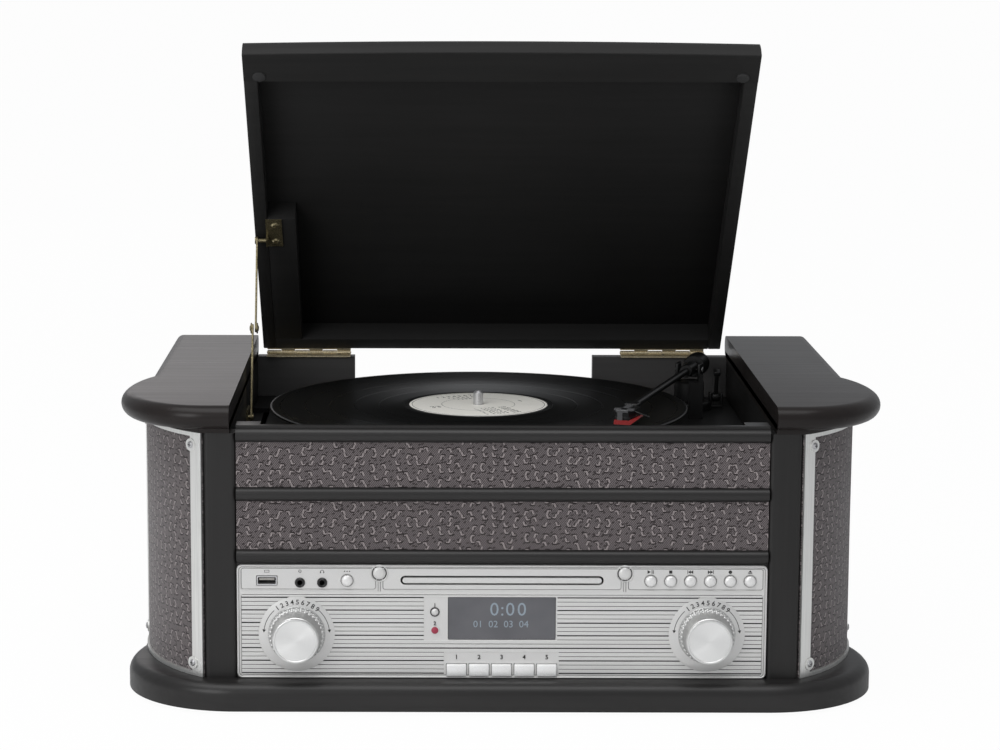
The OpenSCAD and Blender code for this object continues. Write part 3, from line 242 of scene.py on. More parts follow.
def scalar(tree, kind, first, second=0.5, third=0.5):
    """A scalar operation on sockets or plain numbers."""
    return add_node(tree, "ShaderNodeMath", {0: first, 1: second, 2: third},
                    operation=kind).outputs[0]


def relief(tree, shader, height, strength, depth):
    """Bump of a given depth in metres on a shader."""
    bump = add_node(tree, "ShaderNodeBump",
                    {"Height": height, "Strength": strength, "Distance": depth})
    tree.links.new(bump.outputs[0], shader.inputs["Normal"])


def grained(name, dark, light, rough, scale, detail=2, bump=0, depth=0, gloss=0.5, swing=()):
    """A finish with a fine grain between two tones, a little relief and uneven roughness."""
    material, tree, shader, place = new_finish(name, dark, rough, 0, gloss)
    if isinstance(scale, tuple):
        place, scale = stretched(tree, place, scale), 1
    grain = noise(tree, place, scale, detail)
    tree.links.new(blend_colours(tree, grain, dark, light), shader.inputs["Base Color"])
    if swing:
        tree.links.new(between(tree, grain, 0.3, 0.7, rough + swing[0], rough + swing[1]),
                       shader.inputs["Roughness"])
    if bump:
        relief(tree, shader, grain, bump, depth)
    return material


def stained_wood(name, along, dark, light, rough, gloss=0.36):
    """Black stain and satin lacquer over fine grain that runs along an axis."""
    material, tree, shader, place = new_finish(name, dark, rough, 0, gloss)
    scale = [260, 260, 260]
    scale[along] = 5
    fibres = noise(tree, stretched(tree, place, scale), 1, 4, 0.6, 0.4)
    scale = [40, 40, 40]
    scale[along] = 3
    bands = noise(tree, stretched(tree, place, scale), 1, 2, 0.5, 0.8)
    fine = between(tree, fibres, 0.35, 0.68, 0, 1)
    mixed = scalar(tree, "MULTIPLY_ADD", fine, 0.35, between(tree, bands, 0.3, 0.7, 0, 0.45))
    tree.links.new(blend_colours(tree, mixed, dark, light), shader.inputs["Base Color"])
    tree.links.new(between(tree, fibres, 0.3, 0.7, rough + 0.03, rough - 0.03),
                   shader.inputs["Roughness"])
    relief(tree, shader, fibres, 0.14, 0.0001)
    return material


cap_stain = stained_wood("cap_stain", 0, (0.012, 0.0098, 0.0092), (0.021, 0.0168, 0.016), 0.3,
                         0.2)
stain_x = stained_wood("stain_along_x", 0, (0.012, 0.0114, 0.0112), (0.023, 0.0219, 0.0215), 0.36)
stain_z = stained_wood("stain_along_z", 2, (0.009, 0.0085, 0.0082), (0.018, 0.0171, 0.0167), 0.4)
stain_y = stained_wood("stain_along_y", 1, (0.006, 0.0057, 0.0056), (0.0145, 0.0138, 0.0135), 0.4)

base = bmesh.new()
rings = []
for height, inset in [(0, 0)] + quarter_round(base_hi.z - base_lo.z, base_round):
    half = ellipse_end(base_hi.x, base_widest_y, base_curve, base_half, base_hi.y, 0.0,
                       inset)[1:-1]
    outline = half + [(-x, y) for x, y in half[::-1]]
    rings.append([(x, y, base_lo.z + height) for x, y in outline])
add_rings(base, rings)
finish_piece("base", base, [stain_x], "cabinet", ["base_board"])


def rubber(name):
    """Matt black rubber with a fine moulded grain."""
    return grained(name, (0.014, 0.014, 0.014), (0.03, 0.03, 0.03), 0.75, 900, 2, 0.3, 0.0001)


def dress(node, *materials):
    """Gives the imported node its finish."""
    data = nodes[node].data
    data.materials.clear()
    for material in materials:
        data.materials.append(material)


foot_rubber = rubber("foot_rubber")
dress("feet", foot_rubber)


# ------------------------------------------------------------------ side cabinets, posts and caps
# Two loudspeaker boxes of black board stand on the base, with a solid post before each. A thick
# cap with a full-round edge lies on each box, over a thin set-back moulding.
dress("left_cabinet", stain_y)
dress("right_cabinet", stain_y)
dress("front_posts", stain_z)
cap_thick = 0.016
cap_widest_y = -0.088
cap_curve = (0.062, 0.076, 0.095)
neck_front_y = -0.158
neck_side_x = 0.2404
neck_back_y = 0.1695
grille_lo, grille_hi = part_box("right_grille")
grille_curve = (0.0965, 0.1185)              # half axes of the grille seen from above
grille_middle = (grille_hi.x - grille_curve[0], -0.055)


def neck_outline(inner, out):
    """Outline of the moulding under the cap: straight in front, then a step outside the grille."""
    wide, deep = grille_curve[0] + out, grille_curve[1] + out
    first = math.asin((neck_front_y - grille_middle[1]) / deep)
    turns = [first * (1 - i / 24) for i in range(25)]
    points = [(inner, neck_front_y)]
    points += [(grille_middle[0] + wide * math.cos(t), grille_middle[1] + deep * math.sin(t))
               for t in turns]
    return points + [(grille_hi.x + out, grille_hi.y), (neck_side_x, grille_hi.y),
                     (neck_side_x, neck_back_y), (inner, neck_back_y)]


for side, name in ((1, "right_cap"), (-1, "left_cap")):
    low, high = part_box(name)
    reach = max(abs(low.x), abs(high.x))
    inner = min(abs(low.x), abs(high.x))
    cap_z = high.z - cap_thick
    radius = cap_thick / 2
    cap = bmesh.new()
    rings = []
    for step in range(19):
        turn = math.radians(-90 + 10 * step)
        inset = radius * (1 - math.cos(turn))
        outline = ellipse_end(reach, cap_widest_y, cap_curve, rear_half, base_hi.y, inner, inset)
        z = cap_z + radius + radius * math.sin(turn)
        rings.append([(side * x, y, z) for x, y in outline])
    add_rings(cap, rings)
    outline = neck_outline(inner, 0.003)
    add_rings(cap, [[(side * x, y, z) for x, y in outline] for z in (low.z, cap_z + radius / 2)])
    finish_piece("cap_right" if side > 0 else "cap_left", cap, [cap_stain], "cabinet",
                 [name])


# ------------------------------------------------------------------ side grilles
# A cloth is stretched over a curved frame on each side. A silver frame with a wide strip front and
# back and screwed tabs in its corners holds it; the cloth runs straight on behind the curve.
grille_thick = 0.0016


def grille_path(inset):
    """Points of the curve seen from above, from the post to the rear end."""
    wide, deep = grille_curve[0] - inset, grille_curve[1] - inset
    first = -math.acos((grille_lo.x - grille_middle[0]) / (grille_curve[0] - grille_thick))
    turns = [first * (1 - i / 40) for i in range(41)]
    path = [(grille_middle[0] + wide * math.cos(t), grille_middle[1] + deep * math.sin(t))
            for t in turns]
    straight = grille_hi.y - grille_middle[1]
    return path + [(grille_hi.x - inset, grille_middle[1] + straight * i / 10)
                   for i in range(1, 11)]


def cloth_piece(name, outer, inner, low, high, swell, material, stands_for, side=1):
    """A stretched cloth between two paths seen from above, with its length as its own map."""
    rows = 24
    mesh = bmesh.new()
    across = mesh.loops.layers.uv.new("cloth")
    length = [0.0]
    for a, b in zip(outer, outer[1:]):
        length.append(length[-1] + math.dist(a, b))
    grids = []
    for path, sign in ((outer, 1), (inner, 0)):
        grid = []
        for row in range(rows + 1):
            v = row / rows
            line = []
            for i, (x, y) in enumerate(path):
                u = length[i] / length[-1]
                tight = min(1, 12 * min(u, 1 - u)) * min(1, 6 * min(v, 1 - v))
                wave = 0.35 * math.sin(9 * u + 4 * v) * math.sin(5 * v + 1)
                a, b = outer[max(i - 1, 0)], outer[min(i + 1, len(outer) - 1)]
                out = Vector((b[1] - a[1], a[0] - b[0])).normalized()
                out *= swell * (wave - 0.5) * tight
                line.append(mesh.verts.new((side * (x + out.x * sign), y + out.y * sign,
                                            low + (high - low) * v)))
            grid.append(line)
        grids.append(grid)
    front, back = grids
    columns = len(outer) - 1
    where = {}
    for grid in grids:
        for row, line in enumerate(grid):
            for i, vert in enumerate(line):
                where[vert] = (length[i], (high - low) * row / rows)
    quads = []
    for row in range(rows):
        for i in range(columns):
            quads.append((front[row][i], front[row][i + 1], front[row + 1][i + 1],
                          front[row + 1][i]))
            quads.append((back[row][i], back[row + 1][i], back[row + 1][i + 1], back[row][i + 1]))
    for row in range(rows):
        quads.append((front[row][0], front[row + 1][0], back[row + 1][0], back[row][0]))
        quads.append((front[row][-1], back[row][-1], back[row + 1][-1], front[row + 1][-1]))
    for i in range(columns):
        quads.append((front[0][i], back[0][i], back[0][i + 1], front[0][i + 1]))
        quads.append((front[-1][i], front[-1][i + 1], back[-1][i + 1], back[-1][i]))
    for quad in quads:
        for loop in mesh.faces.new(quad).loops:
            loop[across].uv = where[loop.vert]
    piece = finish_piece(name, mesh, [material], "cabinet", stands_for)
    return piece


def speaker_cloth():
    """Grey-brown twill with small light figures and dark flecks; each figure has a dark rim, partly
    outline and partly a painted shadow.
    """
    material, tree, shader, place = new_finish("speaker_cloth", (0.16, 0.14, 0.14), 0.9, 0, 0.2)
    shader.inputs["Sheen Weight"].default_value = 0.25
    shader.inputs["Sheen Roughness"].default_value = 0.5
    cloth = add_node(tree, "ShaderNodeUVMap", uv_map="cloth").outputs[0]
    twill_place = stretched(tree, cloth, (290, 290, 290), (0, 0, math.radians(38)))
    twill = add_node(tree, "ShaderNodeTexWave",
                     {"Vector": twill_place, "Scale": 1, "Distortion": 0.35})
    slub = noise(tree, stretched(tree, cloth, (700, 2600, 1)), 1, 2)
    cloudy = noise(tree, cloth, 60, 3)
    ground = blend_colours(tree, twill.outputs["Fac"], (0.026, 0.022, 0.023),
                           (0.215, 0.186, 0.188))
    ground = blend_colours(tree, between(tree, slub, 0.3, 0.7, 0, 0.2), ground,
                           (0.10, 0.088, 0.09))
    ground = blend_colours(tree, between(tree, cloudy, 0.3, 0.7, 0, 0.35), ground,
                           (0.08, 0.072, 0.075))

    def cells(wide, tall, shift, loose):
        """Where a point lies in its cell of a loose grid, in metres, and the cell's own colour."""
        grid = add_node(tree, "ShaderNodeMapping", {"Vector": cloth, "Location": shift,
                                                    "Scale": (1 / wide, 1 / tall, 1)})
        cell = add_node(tree, "ShaderNodeTexVoronoi",
                        {"Vector": grid.outputs[0], "Scale": 1, "Randomness": loose},
                        voronoi_dimensions="2D")
        away = vector_math(tree, "SUBTRACT", grid.outputs[0], cell.outputs["Position"])
        return vector_math(tree, "MULTIPLY", away, (wide, tall, 0)), cell.outputs["Color"]

    def stroke(point, start, end, reach):
        """How far a point lies outside a round-ended stroke, as 0 inside to 1 far outside."""
        along = Vector(end) - Vector(start)
        away = vector_math(tree, "SUBTRACT", point, (*start, 0))
        share = vector_math(tree, "DOT_PRODUCT", away, (*(along / along.length_squared), 0))
        share = between(tree, share, 0, 1, 0, 1)
        back = vector_math(tree, "SCALE", (*along, 0), share)
        gap = vector_math(tree, "LENGTH", vector_math(tree, "SUBTRACT", away, back))
        return between(tree, gap, reach - 0.0001, reach + 0.0002, 1, 0)

    def motif(point, wider):
        """A bent figure of one thick and one thin leg."""
        thick = stroke(point, (-0.0009, 0.0012), (-0.0003, -0.0005), 0.0006 + wider)
        thin = stroke(point, (-0.0001, -0.0008), (0.0013, -0.0006), 0.00034 + wider)
        return scalar(tree, "MAXIMUM", thick, thin)

    point, chance = cells(0.0071, 0.0053, (0.2, 0.3, 0), 0.6)
    split = add_node(tree, "ShaderNodeSeparateColor", {0: chance})
    signs = {i: scalar(tree, "SIGN", scalar(tree, "SUBTRACT", split.outputs[i], 0.5))
             for i in (0, 1)}
    flip = add_node(tree, "ShaderNodeCombineXYZ", signs)
    point = vector_math(tree, "MULTIPLY", point, flip.outputs[0])
    ragged = add_node(tree, "ShaderNodeTexNoise", {"Vector": cloth, "Scale": 900})
    push = vector_math(tree, "SCALE", vector_math(tree, "SUBTRACT", ragged.outputs["Color"],
                                                  (0.5, 0.5, 0.5)), 0.00045)
    point = vector_math(tree, "ADD", point, push)
    # A wider dark copy of each figure, shifted to one side: partly its dark outline, partly a
    # painted shadow.
    shadow = vector_math(tree, "ADD", point, (-0.0003, 0.0004, 0))
    spot, chance = cells(0.0047, 0.0036, (0.6, 0.1, 0), 0.9)
    spot = vector_math(tree, "ADD", spot, push)
    spots = stroke(spot, (-0.0005, -0.0002), (0.0005, 0.0003), 0.00042)
    ground = blend_colours(tree, scalar(tree, "MULTIPLY", spots, 0.8), ground,
                           (0.017, 0.013, 0.013))
    ground = blend_colours(tree, scalar(tree, "MULTIPLY", motif(shadow, 0.00046), 0.96), ground,
                           (0.016, 0.0125, 0.0125))
    figure = blend_colours(tree, twill.outputs["Fac"], (0.2, 0.175, 0.175), (0.34, 0.3, 0.3))
    ground = blend_colours(tree, motif(point, 0), ground, figure)
    tree.links.new(ground, shader.inputs["Base Color"])
    relief(tree, shader, twill.outputs["Fac"], 0.5, 0.00025)
    return material


cloth = speaker_cloth()
for side, name in ((1, "right"), (-1, "left")):
    cloth_piece("cloth_" + name, grille_path(0.0001), grille_path(0.0013), grille_lo.z, grille_hi.z,
                0.0004, cloth, [name + "_grille"], side)


def silver_metal(name, along, tint=(0.62, 0.62, 0.61)):
    """Satin aluminium with fine brushing along an axis."""
    material, tree, shader, place = new_finish(name, tint, 0.34, 0.85)
    scale = [2600, 2600, 2600]
    scale[along] = 25
    brushed = noise(tree, stretched(tree, place, scale), 1, 2)
    soft = noise(tree, place, 30, 2)
    dark = tuple(0.82 * c for c in tint)
    tree.links.new(blend_colours(tree, between(tree, brushed, 0.3, 0.7, 0, 1), dark, tint),
                   shader.inputs["Base Color"])
    tree.links.new(between(tree, soft, 0.3, 0.7, 0.3, 0.42), shader.inputs["Roughness"])
    relief(tree, shader, brushed, 0.1, 0.00005)
    return material


trim_metal = silver_metal("trim_aluminium", 2, (0.82, 0.82, 0.8))
screw_steel = silver_metal("screw_steel", 0, (0.55, 0.55, 0.56))
dress("grille_trims", trim_metal)
dress("trim_screws", screw_steel)


def grow(name, points, tree, values, body):
    """Runs a node tree on a mesh of points and keeps what it makes as a plain piece."""
    data = bpy.data.meshes.new(name)
    data.from_pydata(points, [], [])
    holder = bpy.data.objects.new(name, data)
    bpy.context.scene.collection.objects.link(holder)
    modifier = holder.modifiers.new("grow", "NODES")
    modifier.node_group = tree
    for item in tree.interface.items_tree:
        if item.in_out == "INPUT" and item.name in values:
            modifier[item.identifier] = values[item.name]
    made = bpy.data.meshes.new_from_object(
        holder.evaluated_get(bpy.context.evaluated_depsgraph_get()))
    bpy.data.objects.remove(holder)
    piece = bpy.data.objects.new(name, made)
    bpy.context.scene.collection.objects.link(piece)
    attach(piece, body)


def node_tree(name, sockets):
    """An empty tree for a Geometry Nodes modifier with named inputs."""
    tree = bpy.data.node_groups.new(name, "GeometryNodeTree")
    tree.interface.new_socket("Geometry", in_out="INPUT", socket_type="NodeSocketGeometry")
    for label, kind, value in sockets:
        tree.interface.new_socket(label, in_out="INPUT",
                                  socket_type="NodeSocket" + kind).default_value = value
    tree.interface.new_socket("Geometry", in_out="OUTPUT", socket_type="NodeSocketGeometry")
    return tree, tree.nodes.new("NodeGroupInput").outputs, tree.nodes.new("NodeGroupOutput")


def close_tree(tree, made, output, material, marked=None):
    """Ends a tree in real geometry with its material, and another one on marked faces."""
    made = add_node(tree, "GeometryNodeRealizeInstances", {0: made}).outputs[0]
    made = add_node(tree, "GeometryNodeSetMaterial", {0: made, "Material": material}).outputs[0]
    if marked:
        flag = add_node(tree, "GeometryNodeInputNamedAttribute", {"Name": "marked"},
                        data_type="BOOLEAN")
        made = add_node(tree, "GeometryNodeSetMaterial",
                        {0: made, "Selection": flag.outputs[0], "Material": marked}).outputs[0]
    tree.links.new(made, output.inputs[0])


def screw_tree(metal, shade):
    """A low screw head with a dark cross on it as painted shade of its slot, set at every point of
    the mesh.
    """
    tree, given, end = node_tree("screw_heads", [("Head", "Float", 0.0019),
                                                 ("Lie", "Vector", (0, 0, 0))])
    ball = add_node(tree, "GeometryNodeMeshUVSphere",
                    {"Segments": 24, "Rings": 10, "Radius": given["Head"]})
    low = add_node(tree, "GeometryNodeTransform",
                   {"Geometry": ball.outputs[0], "Scale": (1, 1, 0.3)})
    both = tree.nodes.new("GeometryNodeJoinGeometry")
    tree.links.new(low.outputs[0], both.inputs[0])
    for size in ((1.1, 0.26, 0.62), (0.26, 1.1, 0.62)):
        cut = add_node(tree, "GeometryNodeMeshCube",
                       {"Size": vector_math(tree, "SCALE", size, given["Head"])})
        # The dark cross is painted shade of the screw's slot.
        dark = add_node(tree, "GeometryNodeStoreNamedAttribute",
                        {"Geometry": cut.outputs[0], "Name": "marked", "Value": True},
                        data_type="BOOLEAN", domain="FACE")
        tree.links.new(dark.outputs[0], both.inputs[0])
    place = add_node(tree, "GeometryNodeInstanceOnPoints",
                     {"Points": given["Geometry"], "Instance": both.outputs[0],
                      "Rotation": given["Lie"]})
    close_tree(tree, place.outputs[0], end, metal, shade)
    return tree


def plastic(name, colour, rough=0.45, gloss=0.5):
    """Moulded plastic with a fine grain."""
    light = tuple(1.35 * c + 0.002 for c in colour)
    return grained(name, colour, light, rough, 1400, 2, 0.15, 0.00004, gloss, (-0.05, 0.07))


black_plastic = plastic("black_plastic", (0.012, 0.012, 0.012))
trim_tree = screw_tree(screw_steel, black_plastic)
screw_lo, screw_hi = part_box("trim_screws")
middle_z = (screw_lo.z + screw_hi.z) / 2
between_rows_y = -0.1
for side, hand in ((-1, "left"), (1, "right")):
    for row in ("front", "rear"):
        spots = []
        for upper in (False, True):
            part = [v.co for v in nodes["trim_screws"].data.vertices
                    if v.co.x * side > 0 and (v.co.z > middle_z) == upper
                    and (v.co.y > between_rows_y) == (row == "rear")]
            spots.append([(min(c[i] for c in part) + max(c[i] for c in part)) / 2
                          for i in range(3)])
        out = Vector((side, 0, 0))
        if row == "front":
            out = Vector(((spots[0][0] - side * grille_middle[0]) / grille_curve[0] ** 2,
                          (spots[0][1] - grille_middle[1]) / grille_curve[1] ** 2, 0)).normalized()
        grow("trim_heads_%s_%s" % (row, hand), [tuple(Vector(at) + 0.0003 * out) for at in spots],
             trim_tree, {"Head": 0.0023, "Lie": tuple(out.to_track_quat("Z", "Y").to_euler())},
             "cabinet")


# ------------------------------------------------------------------ front board, rails and cloth
# A board closes the front of the well. Three half-round rails in black satin lacquer are glued on
# it, and the same cloth as on the sides fills the two fields between them.
dress("front_board", stain_x)
dress("front_rails", stain_x)
panel_lo, panel_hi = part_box("cloth_panels")
rail_lo, rail_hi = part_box("front_rails")
rail_r = 0.00465
field_gap = 0.00015
rail_zs = [rail_lo.z + rail_r, 0, rail_hi.z - rail_r]
rail_zs[1] = rail_zs[2] - 0.04
for name, lower, upper in (("cloth_low", 0, 1), ("cloth_top", 1, 2)):
    low = rail_zs[lower] + rail_r + field_gap
    high = rail_zs[upper] - rail_r - field_gap
    steps = [panel_lo.x + (panel_hi.x - panel_lo.x) * i / 90 for i in range(91)]
    cloth_piece(name, [(x, panel_lo.y + 0.0001) for x in steps],
                [(x, panel_hi.y - 0.0001) for x in steps],
                low, high, 0.0004, cloth, ["cloth_panels"])


# ------------------------------------------------------------------ fascia
# One silver-lacquered plastic moulding: a smooth band with sockets, buttons and the disc slot on
# top, and a ribbed field below with a plain round plate for each knob. Black ink films in the deep
# grooves and grey ones in the shallow grooves are painted shade, as are the thin grey beads beside
# the outlines and the thin black ring round each stud. It is clipped between the two posts.
def centre_of(node):
    """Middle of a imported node's box."""
    low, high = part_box(node)
    return (low + high) / 2


fascia_lo, fascia_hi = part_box("fascia")
front_y = fascia_hi.y - 0.0019
half_w = fascia_hi.x
foot_z = fascia_lo.z - 0.00015
row_z = centre_of("play_button").z
dial_z = centre_of("volume_knob").z
dial_x = centre_of("tuning_knob").x
button_nodes = ["play_button", "stop_button", "back_button", "skip_button", "record_button",
                "eject_button"]
button_xs = [centre_of(node).x for node in button_nodes]
function_x = centre_of("function_button").x
jack_xs = [-0.1355, -0.1206]
usb_x = -0.1577
usb_z = row_z - 0.0002
usb_size = (0.0144, 0.0070)
display_size = (0.0726, 0.0296)
display_z = foot_z + 0.0414
slot_size = (0.1363, 0.0062)
slot_z = row_z + 0.0002
keys_z = foot_z + 0.0059
key_boxes = [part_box("key_%d" % n) for n in range(1, 6)]
stud_x = 0.0823
stud_z = foot_z + 0.0724
eye_x = -0.045
eye_zs = [foot_z + 0.0333, foot_z + 0.0459]
band_z = foot_z + 0.0603


def rounded(x, z, width, height, radius, steps=5):
    """A rectangle with round corners in the plane of the fascia, as (x, z) points."""
    points = []
    for cx, cz, start in ((1, 1, 0), (-1, 1, 90), (-1, -1, 180), (1, -1, 270)):
        for i in range(steps + 1):
            turn = math.radians(start + 90 * i / steps)
            points.append((x + cx * (width / 2 - radius) + radius * math.cos(turn),
                           z + cz * (height / 2 - radius) + radius * math.sin(turn)))
    return points


def ring(x, z, radius, count=40):
    return [(x + radius * math.cos(2 * math.pi * i / count),
             z + radius * math.sin(2 * math.pi * i / count)) for i in range(count)]


def add_plate(mesh, outer, holes, front, back, index=0, axes=(0, 1, 2)):
    """A flat plate across Y, cut through by holes, or across the axis that axes puts there."""
    def placed(x, y, z):
        return mesh.verts.new([(x, y, z)[axis] for axis in axes])

    flat = bmesh.new()
    loops = [[flat.verts.new((x, front, z)) for x, z in loop] for loop in [outer] + holes]
    edges = [flat.edges.new(pair) for loop in loops for pair in zip(loop, loop[1:] + loop[:1])]
    bmesh.ops.triangle_fill(flat, use_beauty=True, edges=edges)
    near = {v: placed(v.co.x, front, v.co.z) for v in flat.verts}
    far = {v: placed(v.co.x, back, v.co.z) for v in flat.verts}
    faces = []
    for face in flat.faces:
        faces.append(mesh.faces.new([near[v] for v in face.verts]))
        faces.append(mesh.faces.new([far[v] for v in reversed(list(face.verts))]))
    for loop in loops:
        for a, b in zip(loop, loop[1:] + loop[:1]):
            faces.append(mesh.faces.new((near[a], near[b], far[b], far[a])))
    flat.free()
    for face in faces:
        face.material_index = index


def colour_new(mesh, before, index):
    """Gives the faces that weren't there before one of the piece's materials."""
    for face in set(mesh.faces) - before:
        face.material_index = index


def add_bead(mesh, path, profile, front, closed=True, index=0):
    """Runs a profile of (sideways, outwards) points along a path in the plane of the fascia."""
    before = set(mesh.faces)
    count = len(path)
    made = []
    for i, (x, z) in enumerate(path):
        a = path[i - 1] if closed or i else path[i]
        b = path[(i + 1) % count] if closed or i < count - 1 else path[i]
        along = Vector((b[0] - a[0], b[1] - a[1])).normalized()
        made.append([mesh.verts.new((x - along.y * s, front - out, z + along.x * s))
                     for s, out in profile])
    pairs = list(zip(made, made[1:])) + ([(made[-1], made[0])] if closed else [])
    size = len(profile)
    for one, two in pairs:
        for i in range(size):
            mesh.faces.new((one[i], one[(i + 1) % size], two[(i + 1) % size], two[i]))
    if not closed:
        mesh.faces.new(made[0][::-1])
        mesh.faces.new(made[-1])
    colour_new(mesh, before, index)


def half_round(width, height, steps=6):
    """Profile of a raised bead that reaches a little into the plate."""
    points = [(width / 2 * math.cos(math.pi * i / steps), height * math.sin(math.pi * i / steps))
              for i in range(steps + 1)]
    return points + [(-width / 2, -0.0002), (width / 2, -0.0002)]


def add_turned(mesh, profile, centre, axis, count=48, index=0):
    """Turns a profile of (radius, height) points about an axis through centre."""
    before = set(mesh.faces)
    axis = Vector(axis).normalized()
    side = axis.orthogonal().normalized()
    other = axis.cross(side)
    centre = Vector(centre)
    rows = []
    closed = profile[0] == profile[-1]
    for radius, height in profile[:-1] if closed else profile:
        if radius < 1e-7:
            rows.append([mesh.verts.new(centre + axis * height)])
            continue
        rows.append([mesh.verts.new(centre + axis * height
                                    + side * radius * math.cos(2 * math.pi * i / count)
                                    + other * radius * math.sin(2 * math.pi * i / count))
                     for i in range(count)])
    if closed:
        rows.append(rows[0])
    for one, two in zip(rows, rows[1:]):
        for i in range(count):
            j = (i + 1) % count
            if len(one) == 1 and len(two) == 1:
                break
            if len(one) == 1:
                mesh.faces.new((one[0], two[i], two[j]))
            elif len(two) == 1:
                mesh.faces.new((one[i], two[0], one[j]))
            else:
                mesh.faces.new((one[i], two[i], two[j], one[j]))
    for row in (rows[0], rows[-1]):
        if len(row) > 1 and not closed:
            mesh.faces.new(row)
    colour_new(mesh, before, index)


def silver_plastic(name, tint=(0.68, 0.675, 0.665)):
    """Silver lacquer on plastic: a fine metal flake under a soft gloss."""
    material, tree, shader, place = new_finish(name, tint, 0.36, 0.35)
    flake = noise(tree, place, 5200, 1)
    cloudy = noise(tree, place, 24, 3)
    light = tuple(min(1, 1.08 * c) for c in tint)
    dark = tuple(0.9 * c for c in tint)
    tree.links.new(blend_colours(tree, between(tree, flake, 0.35, 0.65, 0, 1), dark, light),
                   shader.inputs["Base Color"])
    tree.links.new(between(tree, cloudy, 0.3, 0.7, 0.32, 0.42), shader.inputs["Roughness"])
    relief(tree, shader, flake, 0.06, 0.00003)
    return material


def printed(name, colour):
    """Matt ink with a slightly uneven film, used for print and, on the fascia, as painted shade."""
    return grained(name, colour, tuple(1.5 * c + 0.004 for c in colour), 0.6, 1500)


panel_silver = silver_plastic("panel_silver")
# Black and grey ink serve for the printed marks and the label, and as painted shade on the fascia.
black_ink_and_shade = printed("black_ink_and_shade", (0.011, 0.0105, 0.01))
grey_ink_and_shade = printed("grey_ink_and_shade", (0.12, 0.117, 0.113))

fascia = bmesh.new()
plate_w = 2 * half_w
plate_h = fascia_hi.z - fascia_lo.z
plate_z = (fascia_hi.z + fascia_lo.z) / 2
openings = [ring(x, row_z, 0.0044, 32) for x in button_xs + [function_x]]
openings += [ring(x, row_z - 0.0015, 0.0031, 32) for x in jack_xs]
openings += [ring(x, dial_z, 0.0045, 32) for x in (-dial_x, dial_x)]
openings += [ring(eye_x, z, 0.0026, 24) for z in eye_zs]
openings.append(rounded(usb_x, usb_z, *usb_size, 0.0006, 3))
openings.append(rounded(0, slot_z, *slot_size, slot_size[1] / 2 - 1e-5, 8))
openings.append(rounded(0, display_z, *display_size, 0.0008, 3))
for low, high in key_boxes:
    openings.append(rounded((low.x + high.x) / 2, keys_z, high.x - low.x + 0.0006, 0.0088, 0.0004,
                            3))
add_plate(fascia, rounded(0, plate_z, plate_w, plate_h, 0.0034), openings, front_y, fascia_hi.y)
add_bead(fascia, rounded(0, plate_z, plate_w - 0.0014, plate_h - 0.0014, 0.0028),
         half_round(0.0013, 0.0008), front_y)

dial_r = 0.0255
rib_out = 0.0004
line_bead = half_round(0.0006, 0.0004)
# A shadow bead is a thin grey line of painted shade beside an outline.
shadow_bead = half_round(0.0004, 0.00005, 3)
inner_w = plate_w - 0.0050
field_low = band_z + 0.0006
field_high = fascia_hi.z - 0.0019
for x0, x1 in ((-inner_w / 2, -stud_x - 0.0020), (-stud_x + 0.0020, stud_x - 0.0020),
               (stud_x + 0.0020, inner_w / 2)):
    for inset, radius, bead, index in ((0, 0.0018, line_bead, 0), (0.0010, 0.0014, shadow_bead, 2)):
        add_bead(fascia, rounded((x0 + x1) / 2, (field_low + field_high) / 2, x1 - x0 - inset,
                                 field_high - field_low - inset, radius), bead, front_y,
                 index=index)
rib_top = band_z - 0.0022
for inset, bead, index in ((0, line_bead, 0), (0.0010, shadow_bead, 2)):
    add_bead(fascia, rounded(0, (rib_top + foot_z + 0.0018) / 2, inner_w - inset,
                             rib_top - foot_z - 0.0018 - inset, 0.0018 - inset / 2), bead, front_y,
             index=index)
add_bead(fascia, rounded(0, plate_z, plate_w - 0.0029, plate_h - 0.0029, 0.0022), shadow_bead,
         front_y, index=2)
for x in (-stud_x, stud_x):
    add_bead(fascia, ring(x, stud_z, 0.0056), half_round(0.0009, 0.0006), front_y)
    # The thin black ring round the stud is painted shade of a groove.
    add_bead(fascia, ring(x, stud_z, 0.00465), half_round(0.0007, 0.0001), front_y, index=1)
    add_bead(fascia, [(x, stud_z - 0.0058), (x, band_z - 0.0008)], half_round(0.0009, 0.0004),
             front_y, closed=False)
    # Grey lines of painted shade beside each stud's stem.
    for side in (-1, 1):
        line_x = x + side * 0.0008
        add_bead(fascia, [(line_x, stud_z - 0.0060), (line_x, band_z - 0.0004)], shadow_bead,
                 front_y, closed=False, index=2)
    add_turned(fascia, [(0, -0.0002), (0.0042, -0.0002), (0.0042, 0.0006), (0.0038, 0.0011),
                        (0.0026, 0.0015), (0, 0.0016)], (x, front_y, stud_z), (0, -1, 0))
for x in (-dial_x, dial_x):
    add_turned(fascia, [(0.0046, -0.0002), (dial_r, -0.0002), (dial_r, rib_out - 0.0001),
                        (dial_r - 0.0002, rib_out), (0.0046, rib_out)], (x, front_y, dial_z),
               (0, -1, 0), 96)

groove_step = 0.0087
deep_zs = [foot_z + 0.0557 - groove_step * i for i in range(7)]
plate_r = dial_r + 0.0001
display_zone = (foot_z + 0.0263, foot_z + 0.0564)
beside_display = (-0.0524, display_size[0] / 2 + 0.0010)
keys_top = foot_z + 0.0190
beside_keys = (-0.0389, 0.0385)


def spans(z):
    """Where the ribs run at a height: beside the knob plates, the display, its lamps, the keys."""
    cuts = []
    if abs(z - dial_z) < plate_r:
        reach = math.sqrt(plate_r ** 2 - (z - dial_z) ** 2)
        cuts += [(-dial_x - reach, -dial_x + reach), (dial_x - reach, dial_x + reach)]
    if display_zone[0] < z < display_zone[1]:
        cuts.append(beside_display)
    if z < keys_top:
        cuts.append(beside_keys)
    end = inner_w / 2 - 0.0006
    edges = [-end] + [v for cut in sorted(cuts) for v in cut] + [end]
    return list(zip(edges[::2], edges[1::2]))


